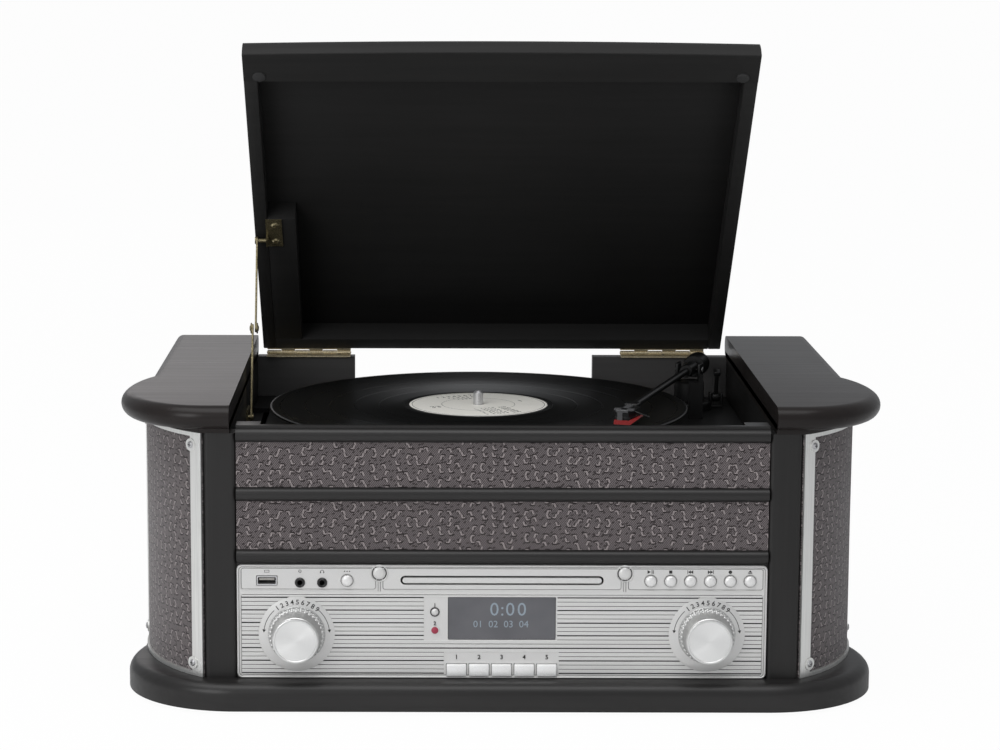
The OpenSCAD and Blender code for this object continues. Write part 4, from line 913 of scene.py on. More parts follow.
def add_ribs(mesh, low, high, height, chamfer, index):
    """A raised bar between two heights, with its ends on the outlines that cut it."""
    middle = (low + high) / 2
    section = [(low, -0.0001), (low, height - chamfer), (low + chamfer, height),
               (high - chamfer, height), (high, height - chamfer), (high, -0.0001)]
    pieces = len(spans(middle))
    spread = [spans(z) if len(spans(z)) == pieces else spans(middle) for z, out in section]
    for i in range(pieces):
        ends = [[(here[i][side], front_y - out, z) for here, (z, out) in zip(spread, section)]
                for side in (0, 1)]
        before = set(mesh.faces)
        add_rings(mesh, ends)
        colour_new(mesh, before, index)


# The black films in the deep grooves and the grey ones in the shallow grooves are painted shade.
third = groove_step / 3
lines = []
for i, z in enumerate(deep_zs):
    lines.append((z, 0.00046, 1))
    if i < len(deep_zs) - 1:
        lines += [(z - third, 0.00026, 2), (z - 2 * third, 0.00026, 2)]
upper = rib_top - 0.0008
for z, half_line, index in lines:
    if upper - z - half_line > 0.0006:
        add_ribs(fascia, z + half_line, upper, rib_out, 0.00012, 0)
    add_ribs(fascia, z - half_line, z + half_line, 0.00006, 0.00001, index)
    upper = z - half_line
add_ribs(fascia, foot_z + 0.0026, upper, rib_out, 0.00012, 0)
finish_piece("fascia_moulding", fascia, [panel_silver, black_ink_and_shade, grey_ink_and_shade], "cabinet",
             ["fascia"])

ink_t = 0.00004


def arc_band(x, z, radius, width, start, end):
    """Outline of a curved stroke between two angles in degrees."""
    turns = [math.radians(start + (end - start) * i / 24) for i in range(25)]
    return [(x + reach * math.cos(t), z + reach * math.sin(t))
            for reach, row in ((radius + width / 2, turns), (radius - width / 2, turns[::-1]))
            for t in row]


def add_text(mesh, words, place, size, index=0, bold=0.00008):
    """A thin film of printed figures, centred on the origin of a placing matrix."""
    curve = bpy.data.curves.new("figures", "FONT")
    curve.body = words
    curve.size = size
    curve.align_x = "CENTER"
    curve.align_y = "CENTER"
    curve.resolution_u = 3
    curve.offset = bold
    curve.extrude = ink_t / 2
    holder = bpy.data.objects.new("figures", curve)
    bpy.context.scene.collection.objects.link(holder)
    flat = bpy.data.meshes.new_from_object(
        holder.evaluated_get(bpy.context.evaluated_depsgraph_get()))
    bpy.data.objects.remove(holder)
    flat.transform(place)
    before = set(mesh.faces)
    mesh.from_mesh(flat)
    bpy.data.meshes.remove(flat)
    colour_new(mesh, before, index)


def facing(x, y, z, turn=0.0):
    """Places flat figures upright on a plane across Y, turned clockwise by an angle."""
    return (Matrix.Translation((x, y, z)) @ Matrix.Rotation(turn, 4, "Y")
            @ Matrix.Rotation(math.pi / 2, 4, "X"))


mark_z = row_z + 0.0062
marks = bmesh.new()
on_band = front_y - ink_t
on_ribs = front_y - rib_out - ink_t


def mark(points, where):
    add_plate(marks, points, [], where, where + ink_t)


def triangle(x, z, wide, high):
    """Points left or right, by the sign of its width."""
    return [(x - wide / 2, z - high / 2), (x + wide / 2, z), (x - wide / 2, z + high / 2)]


def bar(x, z, wide, high):
    return [(x - wide / 2, z - high / 2), (x + wide / 2, z - high / 2),
            (x + wide / 2, z + high / 2), (x - wide / 2, z + high / 2)]


sign = 0.0025
play_x, stop_x, back_x, skip_x, record_x, eject_x = button_xs
mark(triangle(play_x - 0.0011, mark_z, sign * 0.9, sign), on_band)
for i in (0, 1):
    mark(bar(play_x + 0.0008 + 0.0009 * i, mark_z, 0.00045, sign), on_band)
mark(bar(stop_x, mark_z, sign * 0.85, sign * 0.85), on_band)
for x, way in ((back_x, -1), (skip_x, 1)):
    for i in (-1, 1):
        mark(triangle(x + 0.0008 * i, mark_z, way * sign * 0.75, sign), on_band)
    mark(bar(x + way * 0.0019, mark_z, 0.0004, sign), on_band)
mark(ring(record_x, mark_z, sign * 0.48, 24), on_band)
mark([(eject_x - sign * 0.55, mark_z - 0.0002), (eject_x + sign * 0.55, mark_z - 0.0002),
      (eject_x, mark_z + sign * 0.5)], on_band)
mark(bar(eject_x, mark_z - 0.0008, sign * 1.1, 0.00045), on_band)
for i in (-1, 0, 1):
    mark(ring(function_x + 0.0017 * i, mark_z, 0.0004, 16), on_band)
usb_mark = bar(usb_x, mark_z, 0.0034, 0.0017)
add_plate(marks, usb_mark, [bar(usb_x, mark_z, 0.0028, 0.0011)], on_band, on_band + ink_t)
add_plate(marks, ring(jack_xs[0], mark_z, 0.0011, 24), [ring(jack_xs[0], mark_z, 0.0008, 24)],
          on_band, on_band + ink_t)
mark(ring(jack_xs[0], mark_z, 0.0003, 12), on_band)
mark(arc_band(jack_xs[1], mark_z - 0.0003, 0.0011, 0.0003, 0, 180), on_band)
for way in (-1, 1):
    mark(bar(jack_xs[1] + way * 0.0011, mark_z - 0.0007, 0.0007, 0.0011), on_band)
arrow_r = 0.0221
digit_r = 0.0218
for x in (-dial_x, dial_x):
    for start, end, tip in ((133, 172, 1), (50.5, 8, -1)):
        mark(arc_band(x, dial_z, arrow_r, 0.00042, start, end), on_ribs)
        turn = math.radians(end)
        head = Vector((x + arrow_r * math.cos(turn), dial_z + arrow_r * math.sin(turn)))
        along = Vector((-math.sin(turn), math.cos(turn))) * tip
        out = Vector((math.cos(turn), math.sin(turn)))
        mark([tuple(head + out * 0.0012), tuple(head + along * 0.0021), tuple(head - out * 0.0012)],
             on_ribs)
    for i in range(9):
        turn = math.radians(126 - 9.4 * i)
        add_text(marks, str(i + 1), facing(x + digit_r * math.cos(turn), on_ribs + ink_t / 2,
                                           dial_z + digit_r * math.sin(turn), math.pi / 2 - turn),
                 0.0046)
for z, figure in ((eye_zs[1] + 0.0046, "1"), (eye_zs[0] + 0.0046, "2")):
    add_text(marks, figure, facing(eye_x, on_ribs + ink_t / 2, z), 0.0036)
key_xs = [(low.x + high.x) / 2 for low, high in key_boxes]
for number, x in enumerate(key_xs, 1):
    add_text(marks, str(number), facing(x, on_ribs + ink_t / 2, foot_z + 0.0147), 0.0042)
finish_piece("panel_marks", marks, [black_ink_and_shade], "cabinet")


# ------------------------------------------------------------------ knobs
# Two turned knobs with a cone, a rim and a spun face. The cone and flange are coloured darker as
# painted shade, and the rows of round points lighter as painted highlight; the rim has the lighter
# colour too. The points round the foot of the cone and on the flange behind it give the fingers a
# hold.
def ring_noise(tree, reach, scale, detail):
    """Noise that depends on the distance from an axis alone."""
    return add_node(tree, "ShaderNodeTexNoise", {"W": reach, "Scale": scale, "Detail": detail},
                    noise_dimensions="1D").outputs["Fac"]


def turned_gloss(tree, shader, axis, amount):
    """Draws the highlight out along rings about an axis."""
    shader.inputs["Anisotropic"].default_value = amount
    tangent = add_node(tree, "ShaderNodeTangent", direction_type="RADIAL", axis=axis)
    tree.links.new(tangent.outputs[0], shader.inputs["Tangent"])


def spun_metal(name, centre):
    """Spun aluminium, whose fine rings about the knob's axis stretch the highlight to a fan."""
    tint = (0.88, 0.88, 0.87)
    material, tree, shader, place = new_finish(name, tint, 0.3, 0.9)
    away = vector_math(tree, "SUBTRACT", place, (centre[0], 0, centre[1]))
    reach = vector_math(tree, "LENGTH", vector_math(tree, "MULTIPLY", away, (1, 0, 1)))
    rings = ring_noise(tree, reach, 5200, 2)
    turned_gloss(tree, shader, "Y", 0.75)
    dark = tuple(0.86 * c for c in tint)
    tree.links.new(blend_colours(tree, between(tree, rings, 0.3, 0.7, 0, 1), dark, tint),
                   shader.inputs["Base Color"])
    return material


def knurl_tree(material):
    """Rows of round points on a ring about the Y axis, set at every point of the mesh."""
    tree, given, end = node_tree("knurl", [("Count", "Int", 36), ("Ring", "Float", 0.0174),
                                           ("Point", "Float", 0.0009), ("Rows", "Int", 2),
                                           ("Step", "Float", 0.0017)])
    circle = add_node(tree, "GeometryNodeMeshCircle",
                      {"Vertices": given["Count"], "Radius": given["Ring"]})
    ball = add_node(tree, "GeometryNodeMeshIcoSphere",
                    {"Subdivisions": 2, "Radius": given["Point"]})
    points = add_node(tree, "GeometryNodeInstanceOnPoints",
                      {"Points": circle.outputs[0], "Instance": ball.outputs[0]})
    offset = add_node(tree, "ShaderNodeCombineXYZ", {"Z": given["Step"]})
    line = add_node(tree, "GeometryNodeMeshLine",
                    {"Count": given["Rows"], "Offset": offset.outputs[0]})
    index = tree.nodes.new("GeometryNodeInputIndex").outputs[0]
    stagger = scalar(tree, "MULTIPLY", index, scalar(tree, "DIVIDE", math.pi, given["Count"]))
    turn = add_node(tree, "ShaderNodeCombineXYZ", {"Z": stagger})
    rows = add_node(tree, "GeometryNodeInstanceOnPoints",
                    {"Points": line.outputs[0], "Instance": points.outputs[0],
                     "Rotation": turn.outputs[0]})
    place = add_node(tree, "GeometryNodeInstanceOnPoints",
                     {"Points": given["Geometry"], "Instance": rows.outputs[0],
                      "Rotation": (math.pi / 2, 0, 0)})
    close_tree(tree, place.outputs[0], end, material)
    return tree


knob_lo, knob_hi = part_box("tuning_knob")
knob_r = (knob_hi.x - knob_lo.x) / 2
knob_face = knob_lo.y
knob_foot = front_y - 0.0009
knob_out = knob_foot - knob_face
rim_r = knob_r - 0.00315
flange_r = knob_r + 0.0008
# A darker copy of the aluminium as painted shade on cone and flange, a lighter one as painted
# highlight.
shaded_knob_metal = silver_metal("shaded_knob_aluminium", 1, (0.56, 0.56, 0.555))
lit_knob_metal = silver_metal("lit_knob_aluminium", 1, (0.8, 0.8, 0.79))
knob_points = knurl_tree(lit_knob_metal)
for node, x, body in (("volume_knob", -dial_x, "volume"), ("tuning_knob", dial_x, "tuning")):
    knob = bmesh.new()
    centre = (x, knob_foot, dial_z)
    add_turned(knob, [(0, 0), (flange_r, 0), (flange_r, 0.0005), (flange_r - 0.0003, 0.0008),
                      (knob_r - 0.0011, 0.0008), (knob_r - 0.0009, 0.0003),
                      (knob_r - 0.0009, 0.0066), (knob_r - 0.0013, 0.0071),
                      (rim_r + 0.0004, knob_out - 0.0021), (rim_r, knob_out - 0.0017),
                      (rim_r, knob_out - 0.0006), (rim_r - 0.0002, knob_out - 0.0002),
                      (rim_r - 0.0006, knob_out), (rim_r - 0.0013, knob_out - 0.0001),
                      (rim_r - 0.0016, knob_out - 0.0005), (0, knob_out - 0.0005)],
               centre, (0, -1, 0), 96)
    for face in knob.faces:
        middle = face.calc_center_median()
        reach = math.hypot(middle.x - x, middle.z - dial_z)
        if middle.y < knob_face + 0.0022:
            face.material_index = 2 if reach > rim_r - 0.0016 else 1
    add_turned(knob, [(0, -0.011), (0.003, -0.011), (0.003, 0), (0, 0)], centre, (0, -1, 0), 32)
    face_metal = spun_metal("spun_" + body, (x, dial_z))
    finish_piece("knob_" + body, knob, [shaded_knob_metal, face_metal, lit_knob_metal], body,
                 [node])
    for name, out, values in (("knurl_", 0.0012, (36, knob_r - 0.001, 0.00105, 3, 0.0025)),
                              ("flange_dots_", 0.0008, (54, knob_r + 0.0001, 0.00042, 1, 0.001))):
        grow(name + body, [(x, knob_foot - out, dial_z)], knob_points,
             dict(zip(("Count", "Ring", "Point", "Rows", "Step"), values)), body)


# ------------------------------------------------------------------ buttons and keys
# Seven domed round buttons in the band and five flat keys at the bottom, all silver plastic. Each
# has its own plunger behind the panel and springs back.
button_silver = silver_plastic("button_silver", (0.8, 0.795, 0.785))
key_silver = silver_plastic("key_silver", (0.94, 0.935, 0.925))
for node in button_nodes + ["function_button"]:
    low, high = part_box(node)
    out = front_y - low.y
    button = bmesh.new()
    add_turned(button, [(0, -0.004), (0.005, -0.004), (0.005, -0.003), (0.003, -0.003),
                        (0.003, 0), (0.0038, 0), (0.0038, out - 0.0016), (0.0036, out - 0.0011),
                        (0.0031, out - 0.0006), (0.0022, out - 0.0002), (0.0011, out - 0.00004),
                        (0, out)],
               ((low.x + high.x) / 2, front_y, row_z), (0, -1, 0))
    finish_piece(node + "_cap", button, [button_silver], node.replace("_button", "_press"),
                 [node])


def add_block(mesh, low, high, round_r=0.0004, steps=2, index=0, turn=None):
    """A block with rounded edges between two corners, turned by a matrix if one is given."""
    made = bmesh.ops.create_cube(mesh, size=1)["verts"]
    size = [b - a for a, b in zip(low, high)]
    for vert in made:
        vert.co = Vector([low[i] + (vert.co[i] + 0.5) * size[i] for i in range(3)])
    edges = {edge for vert in made for edge in vert.link_edges}
    before = set(mesh.faces) - {face for vert in made for face in vert.link_faces}
    if round_r:
        bmesh.ops.bevel(mesh, geom=list(edges), offset=round_r, segments=steps, affect="EDGES",
                        profile=0.5)
    for face in set(mesh.faces) - before:
        face.material_index = index
        if turn:
            for vert in face.verts:
                vert.tag = True
    if turn:
        for vert in mesh.verts:
            if vert.tag:
                vert.co = turn @ vert.co
                vert.tag = False


for number in range(1, 6):
    low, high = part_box("key_%d" % number)
    key = bmesh.new()
    add_block(key, low, (high.x, low.y + 0.0034, high.z), 0.0007, 3)
    add_block(key, (low.x + 0.0005, low.y + 0.003, low.z + 0.0005),
              (high.x - 0.0005, high.y, high.z - 0.0005), 0)
    finish_piece("key_cap_%d" % number, key, [key_silver], "key_%d_press" % number,
                 ["key_%d" % number])


# ------------------------------------------------------------------ display, lamp and sockets
# A grey display window with pale figures, a red lamp and a dark sensor beside it, and a flat metal
# socket with two round black ones at the left end of the band.
def lit_figures(name, colour, strength):
    """Figures that glow a little through the window."""
    material, tree, shader, place = new_finish(name, colour, 0.5)
    shade = noise(tree, place, 700, 1)
    tree.links.new(blend_colours(tree, shade, tuple(0.9 * c for c in colour), colour),
                   shader.inputs["Emission Color"])
    shader.inputs["Emission Strength"].default_value = strength
    return material


socket_black = plastic("socket_black", (0.009, 0.009, 0.009), 0.3)
window = grained("display_glass", (0.08, 0.08, 0.0893), (0.14, 0.14, 0.1518), 0.12, 45)
figures = lit_figures("display_figures", (0.2, 0.24, 0.28), 0.3)
dress("display", black_plastic)
screen = bmesh.new()
screen_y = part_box("display")[0].y - 0.00002
pane = [size - 0.0006 for size in display_size]
add_plate(screen, rounded(0, display_z, *pane, 0.0007), [], screen_y - 0.0002, screen_y)
for x, figure in ((-0.0050, "0"), (0.0003, ":"), (0.0056, "0"), (0.0134, "0")):
    add_text(screen, figure, facing(x, screen_y - 0.00022, display_z + 0.0058), 0.0128, 1, 0)
add_text(screen, "01  02  03  04", facing(-0.0006, screen_y - 0.00022, display_z - 0.0042), 0.0066,
         1, 0)
finish_piece("display_window", screen, [window, figures], "cabinet")

lamp_red = lit_figures("lamp_red", (0.3, 0.03, 0.06), 0.12)
dark_lens = plastic("dark_lens", (0.02, 0.018, 0.02), 0.12)
eyes = bmesh.new()
for z, index, rim in ((eye_zs[1], 2, 1), (eye_zs[0], 0, 2)):
    add_turned(eyes, [(0, 0.0002), (0.0024, 0.0002), (0.0024, 0.0008), (0.0018, 0.0013),
                      (0.001, 0.0016), (0, 0.0017)], (eye_x, front_y, z), (0, -1, 0), 24, index)
    add_turned(eyes, [(0.0024, 0), (0.0032, 0), (0.0032, rib_out + 0.0003),
                      (0.0029, rib_out + 0.0004), (0.0024, rib_out + 0.0003), (0.0024, 0)],
               (eye_x, front_y, z), (0, -1, 0), 32, rim)
finish_piece("panel_lamps", eyes, [lamp_red, dark_lens, panel_silver], "cabinet")

bright_steel = silver_metal("bright_steel", 0, (0.7, 0.7, 0.71))
sockets = bmesh.new()
shell = rounded(usb_x, usb_z, usb_size[0] - 0.0009, usb_size[1] - 0.0009, 0.0005, 3)
mouth = rounded(usb_x, usb_z, usb_size[0] - 0.0023, usb_size[1] - 0.0023, 0.0003, 3)
add_plate(sockets, shell, [mouth], front_y - 0.0003, front_y + 0.013)
add_plate(sockets, mouth, [], front_y + 0.011, front_y + 0.012, 1)
add_block(sockets, (usb_x - 0.0052, front_y + 0.0006, usb_z + 0.0001),
          (usb_x + 0.0052, front_y + 0.0115, usb_z + 0.0016), 0.0002, 1, 2)
for x in jack_xs:
    add_turned(sockets, [(0.0018, 0.0011), (0.0018, -0.0148), (0, -0.0148), (0, -0.0152),
                         (0.003, -0.0152), (0.003, 0.0002), (0.0034, 0.0002), (0.0034, 0.0006),
                         (0.0030, 0.0010), (0.0025, 0.0013), (0.0018, 0.0011)],
               (x, front_y, row_z - 0.0015), (0, -1, 0), 40, 1)
ivory = plastic("socket_tongue", (0.3, 0.29, 0.27), 0.4)
finish_piece("socket_set", sockets, [bright_steel, socket_black, ivory], "cabinet",
             ["front_sockets"])


# ------------------------------------------------------------------ disc tray
# The tray's silver front fills the slot but for a narrow gap. Behind it lies a black tray with a
# round hollow for the disc, which runs out on rails in the drive's steel case.
tray_lo, tray_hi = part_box("cd_tray")
tray_front = tray_lo.y
tray = bmesh.new()
add_plate(tray, rounded(0, slot_z, slot_size[0] - 0.0028, slot_size[1] - 0.0026,
                        slot_size[1] / 2 - 0.0013 - 1e-5, 8), [], tray_front, tray_front + 0.0035,
          1)
disc_r = 0.061
disc_y = front_y + 0.0061 + disc_r
tray_top = tray_hi.z - 0.0004
tray_half = 0.0652
lying_flat = (0, 2, 1)
outline = bar(0, (tray_front + 0.0034 + tray_hi.y) / 2, 2 * tray_half,
              tray_hi.y - tray_front - 0.0034)
recess = ring(0, disc_y, disc_r, 72)
hub = bar(0, disc_y + 0.015, 0.028, 0.07)
tray_floor = tray_lo.z + 0.0018
for hole, low, high in ((recess, tray_floor, tray_top), (hub, tray_lo.z, tray_floor)):
    add_plate(tray, outline, [hole], low, high, 0, lying_flat)
finish_piece("tray_piece", tray, [black_plastic, panel_silver], "tray",
             ["cd_tray"])
case_steel = silver_metal("case_steel", 1, (0.42, 0.42, 0.43))
dress("cd_drive", case_steel)


# ------------------------------------------------------------------ deck and record
# A black plate closes the well below the rim. A cast platter turns on it and carries the record on
# its mat; a belt from the motor underneath drives it.
deck_black = plastic("deck_black", (0.005, 0.005, 0.005), 0.45, 0.25)
mat_black = rubber("mat_rubber")
dress("deck_plate", deck_black)
dress("platter", mat_black)
dress("spindle", bright_steel)
dress("drive_belt", foot_rubber)
dress("motor", case_steel)


def aged_brass(name, dark, light, rough=0.42):
    """Dull brass with darker tarnish in small spots and soft clouds."""
    material, tree, shader, place = new_finish(name, light, rough, 0.85)
    spots = noise(tree, place, 1300, 4, 0.7)
    clouds = noise(tree, place, 160, 2)
    colour = blend_colours(tree, between(tree, spots, 0.42, 0.6, 0, 1), dark, light)
    colour = blend_colours(tree, between(tree, clouds, 0.35, 0.7, 0, 0.5), colour, dark)
    tree.links.new(colour, shader.inputs["Base Color"])
    tree.links.new(between(tree, spots, 0.35, 0.65, rough + 0.15, rough - 0.05),
                   shader.inputs["Roughness"])
    relief(tree, shader, spots, 0.2, 0.00005)
    return material


clean_brass = aged_brass("turned_brass", (0.34, 0.25, 0.12), (0.5, 0.38, 0.18), 0.3)
dress("spindle_bush", clean_brass)
dress("motor_pulley", clean_brass)
record_lo, record_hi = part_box("record")
record_r = (record_hi.x - record_lo.x) / 2
record_middle = tuple(centre_of("record"))[:2]
label_r = 0.05


def vinyl(name):
    """Black vinyl with fine grooves round the centre and plain bands between the tracks."""
    material, tree, shader, place = new_finish(name, (0.004, 0.004, 0.004), 0.3, 0, 0.25)
    away = vector_math(tree, "SUBTRACT", place, (*record_middle, 0))
    away = vector_math(tree, "MULTIPLY", away, (1, 1, 0))
    reach = vector_math(tree, "LENGTH", away)
    grooves = ring_noise(tree, reach, 2600, 1)
    bands = scalar(tree, "FRACT", scalar(tree, "MULTIPLY", reach, 1 / 0.0178))
    plain = between(tree, bands, 0.0, 0.07, 0.15, 1)
    height = scalar(tree, "MULTIPLY", grooves, plain)
    turned_gloss(tree, shader, "Z", 0.6)
    tree.links.new(blend_colours(tree, height, (0.0025, 0.0025, 0.0025), (0.009, 0.009, 0.009)),
                   shader.inputs["Base Color"])
    tree.links.new(between(tree, plain, 0, 1, 0.2, 0.34), shader.inputs["Roughness"])
    relief(tree, shader, height, 0.25, 0.00006)
    return material


def paper(name, colour):
    """Uncoated label paper."""
    return grained(name, tuple(0.85 * c for c in colour), colour, 0.7, 600, 4)


record = bmesh.new()
record_t = record_hi.z - record_lo.z
sunk = 0.0003
hole_r = 0.00366
add_turned(record, [(hole_r, 0), (record_r - 0.0008, 0), (record_r - 0.0002, 0.0004),
                    (record_r, record_t / 2), (record_r - 0.0003, record_t - 0.0004),
                    (record_r - 0.001, record_t), (record_r - 0.0034, record_t),
                    (record_r - 0.004, record_t - sunk), (label_r + 0.0078, record_t - sunk),
                    (label_r + 0.0070, record_t), (label_r + 0.0002, record_t),
                    (label_r, record_t - 0.0001), (hole_r, record_t - 0.0001), (hole_r, 0)],
           (*record_middle, record_lo.z), (0, 0, 1), 144)
add_turned(record, [(hole_r, 0), (label_r - 0.0003, 0), (label_r - 0.0003, 0.0001),
                    (hole_r, 0.0001), (hole_r, 0)],
           (*record_middle, record_hi.z - 0.00012), (0, 0, 1), 96, 1)
for reach, wide in ((0.0475, 0.0004), (0.0262, 0.0003)):
    add_turned(record, [(reach, 0), (reach + wide, 0), (reach + wide, ink_t), (reach, ink_t),
                        (reach, 0)], (*record_middle, record_hi.z - 0.00003), (0, 0, 1), 96, 2)
on_label = (Matrix.Translation((*record_middle, record_hi.z))
            @ Matrix.Rotation(math.radians(24), 4, "Z"))
for i in range(1, 7):
    add_text(record, "%d   %d %d %d %d   %d:%02d" % (i, i, 2 * i, i + 3, 9 - i, 2 + i % 3, 7 * i),
             on_label @ Matrix.Translation((0.001, -0.0135 - 0.0045 * i, 0)), 0.0038, 2)
for i in range(3):
    add_text(record, "1 2 3 4 5 6 7 8"[:15 - 4 * i],
             on_label @ Matrix.Translation((0, 0.037 - 0.0065 * i, 0)), 0.0056 - 0.0008 * i, 2)
add_text(record, "33", on_label @ Matrix.Translation((-0.033, 0.001, 0)), 0.0085, 2)
add_text(record, "1", on_label @ Matrix.Translation((0.034, 0.001, 0)), 0.0085, 2)
finish_piece("record_disc", record, [vinyl("vinyl"), paper("label_paper", (0.98, 0.96, 0.89)),
                                     grey_ink_and_shade], "turntable", ["record"])


# ------------------------------------------------------------------ tonearm
# A black turret turns in a round plinth on the deck. Its two ears hold the arm on a cross pin: a
# straight tube with a counterweight behind and a flat head with the red stylus guard in front. A
# lever beside the plinth lifts the arm.
arm_black = plastic("arm_black", (0.005, 0.005, 0.005), 0.38, 0.3)
guard_red = plastic("guard_red", (0.25, 0.012, 0.012), 0.35)
# Grey for the bars and strips on the black head, which are painted highlights.
head_highlight_grey = plastic("head_highlight_grey", (0.07, 0.07, 0.073), 0.4)
pivot = Vector((0.148, 0.105, 0))            # the arm's upright axis
deck_z = 0.161
arm_z = 0.1914
stylus_z = record_hi.z + 0.0003
arm_turn = math.radians(-108.2)
at_pivot = Matrix.Translation(pivot) @ Matrix.Rotation(arm_turn, 4, "Z")


def finish_at(name, mesh, matrix, materials, body, stands_for):
    """Finishes a piece that was built in its own axes."""
    bmesh.ops.transform(mesh, matrix=matrix, verts=mesh.verts)
    return finish_piece(name, mesh, materials, body, stands_for)


plinth = bmesh.new()
add_turned(plinth, [(0.0032, 0), (0.017, 0), (0.017, 0.0046), (0.0164, 0.0055), (0.0155, 0.006),
                    (0.0125, 0.006), (0.0122, 0.0056), (0.0032, 0.0056), (0.0032, 0)],
           (pivot.x, pivot.y, deck_z), (0, 0, 1), 64)
add_turned(plinth, [(0.0032, -0.0118), (0.006, -0.0118), (0.006, 0.001), (0.0032, 0.001),
                    (0.0032, -0.0118)], (pivot.x, pivot.y, deck_z), (0, 0, 1), 32)
cue = Vector((0.169, 0.112, 0.169))
for side in (-1, 1):
    add_block(plinth, (cue.x + side * 0.0042 - 0.0011, cue.y - 0.004, deck_z),
              (cue.x + side * 0.0042 + 0.0011, cue.y + 0.004, cue.z + 0.0034), 0.0008, 3)
add_block(plinth, (cue.x - 0.0052, cue.y - 0.0052, deck_z), (cue.x + 0.0052, cue.y + 0.0052,
                                                            deck_z + 0.0025), 0.0006)
finish_piece("arm_plinth", plinth, [arm_black], "cabinet", ["arm_base"])

turret = bmesh.new()
add_turned(turret, [(0, -0.009), (0.003, -0.009), (0.003, 0.0064), (0.0112, 0.0064),
                    (0.0112, 0.0206), (0.0106, 0.0213), (0.0095, 0.0216), (0, 0.0216)],
           (0, 0, deck_z), (0, 0, 1), 48)
for side in (-1, 1):
    y = side * 0.0085
    add_block(turret, (-0.005, y - 0.0014, arm_z - 0.009), (0.005, y + 0.0014, arm_z + 0.005),
              0.001, 3)
    add_turned(turret, [(0, 0), (0.0021, 0), (0.0021, 0.0004), (0.0016, 0.0008), (0, 0.0009)],
               (0, side * 0.0098, arm_z), (0, side, 0), 24, 1)
finish_at("arm_turret", turret, at_pivot, [arm_black, bright_steel], "arm_swivel",
          ["arm_gimbal"])

arm = bmesh.new()
along = (1, 0, 0)
axis_z = (0, 0, arm_z)
add_turned(arm, [(0, -0.033), (0.0075, -0.033), (0.0085, -0.0322), (0.0085, -0.0148),
                 (0.0079, -0.014), (0.003, -0.014), (0.003, -0.010), (0.0044, -0.010),
                 (0.005, -0.0094), (0.005, 0.0112), (0.0044, 0.012), (0.0028, 0.012),
                 (0.0025, 0.0135), (0.0025, 0.176), (0, 0.176)], axis_z, along, 32)
for i in range(4):
    add_turned(arm, [(0.0084, 0), (0.00868, 0.0004), (0.00868, 0.0012), (0.0084, 0.0016),
                     (0.0084, 0)], (-0.0312 + 0.0036 * i, 0, arm_z), along, 32)
add_turned(arm, [(0, -0.0089), (0.001, -0.0089), (0.001, 0.0089), (0, 0.0089)], axis_z, (0, 1, 0),
           16)
add_block(arm, (0.172, -0.005, arm_z - 0.003), (0.182, 0.005, arm_z + 0.003), 0.0012, 3)
head = [(0.1805, -0.0050), (0.1865, -0.0079), (0.2005, -0.0079), (0.2060, -0.0046),
        (0.2060, 0.0046), (0.2005, 0.0079), (0.1865, 0.0079), (0.1805, 0.0050)]
# The grey bars on top of the head are painted highlights of the black head.
for flat, low, high, index in ((head, -0.0024, 0.0012, 0),
                               (bar(0.1925, 0, 0.018, 0.0044), 0.0011, 0.0022, 1),
                               (bar(0.1995, 0, 0.004, 0.014), 0.0011, 0.0022, 1)):
    add_plate(arm, flat, [], arm_z + low, arm_z + high, index, lying_flat)
add_block(arm, (0.1865, -0.0054, arm_z - 0.0065), (0.2048, 0.0054, arm_z - 0.0022), 0.0006)
# The grey strips on the head's front edge are painted highlights.
for y0, y1, z0, z1 in ((-0.0046, 0.0042, arm_z + 0.0002, arm_z + 0.0022),
                       (-0.0036, 0.0004, stylus_z + 0.0040, arm_z + 0.0004)):
    add_block(arm, (0.2050, y0, z0), (0.2062, y1, z1), 0.0003, 1, 1)
guard = [(-0.0058, stylus_z + 0.0012), (0.0056, stylus_z + 0.0012), (0.0118, stylus_z + 0.0060),
         (0.0113, stylus_z + 0.0068), (0.0040, stylus_z + 0.0040), (-0.0055, stylus_z + 0.0044)]
add_plate(arm, guard, [], 0.1930, 0.2064, 2, (1, 0, 2))
add_turned(arm, [(0, 0), (0.0004, 0), (0.0008, 0.0014), (0, 0.0014)], (0.204, 0, stylus_z),
           (0, 0, 1), 12)
lift = Matrix.Translation((0.1995, 0.0074, arm_z + 0.0009)) @ Matrix.Rotation(-0.35, 4, "X")
add_block(arm, (-0.0013, 0, -0.0005), (0.0013, 0.0112, 0.0005), 0.0004, 2, 0, lift)
finish_at("arm_tube", arm, at_pivot, [arm_black, head_highlight_grey, guard_red], "arm",
          ["tonearm"])

lever = bmesh.new()
add_turned(lever, [(0, -0.0025), (0.0033, -0.0025), (0.0035, -0.0022), (0.0035, 0.0022),
                   (0.0033, 0.0025), (0, 0.0025)], (0, 0, 0), (1, 0, 0), 32)
add_turned(lever, [(0, -0.0052), (0.0012, -0.0052), (0.0012, 0.0052), (0, 0.0052)], (0, 0, 0),
           (1, 0, 0), 16)
tilt = Matrix.Rotation(math.radians(20), 4, "X")
add_block(lever, (-0.0014, -0.0018, 0), (0.0014, 0.0018, 0.021), 0.0007, 3, 0, tilt)
add_block(lever, (-0.0025, -0.0029, 0.019), (0.0025, 0.0029, 0.0229), 0.001, 3, 0, tilt)
finish_at("lift_lever", lever, Matrix.Translation(cue), [arm_black], "cue",
          ["cue_lever"])


# ------------------------------------------------------------------ lid
# A shallow frame of black board with a thin panel, its front edge bowed and rounded over. It is
# painted matt black, and two rubber buttons keep it off the rim.
def matt_black(name, dark, light):
    """Dead matt black paint over board."""
    return grained(name, dark, light, 0.6, (9, 160, 160), 3, 0.15, 0.00008, 0.2)


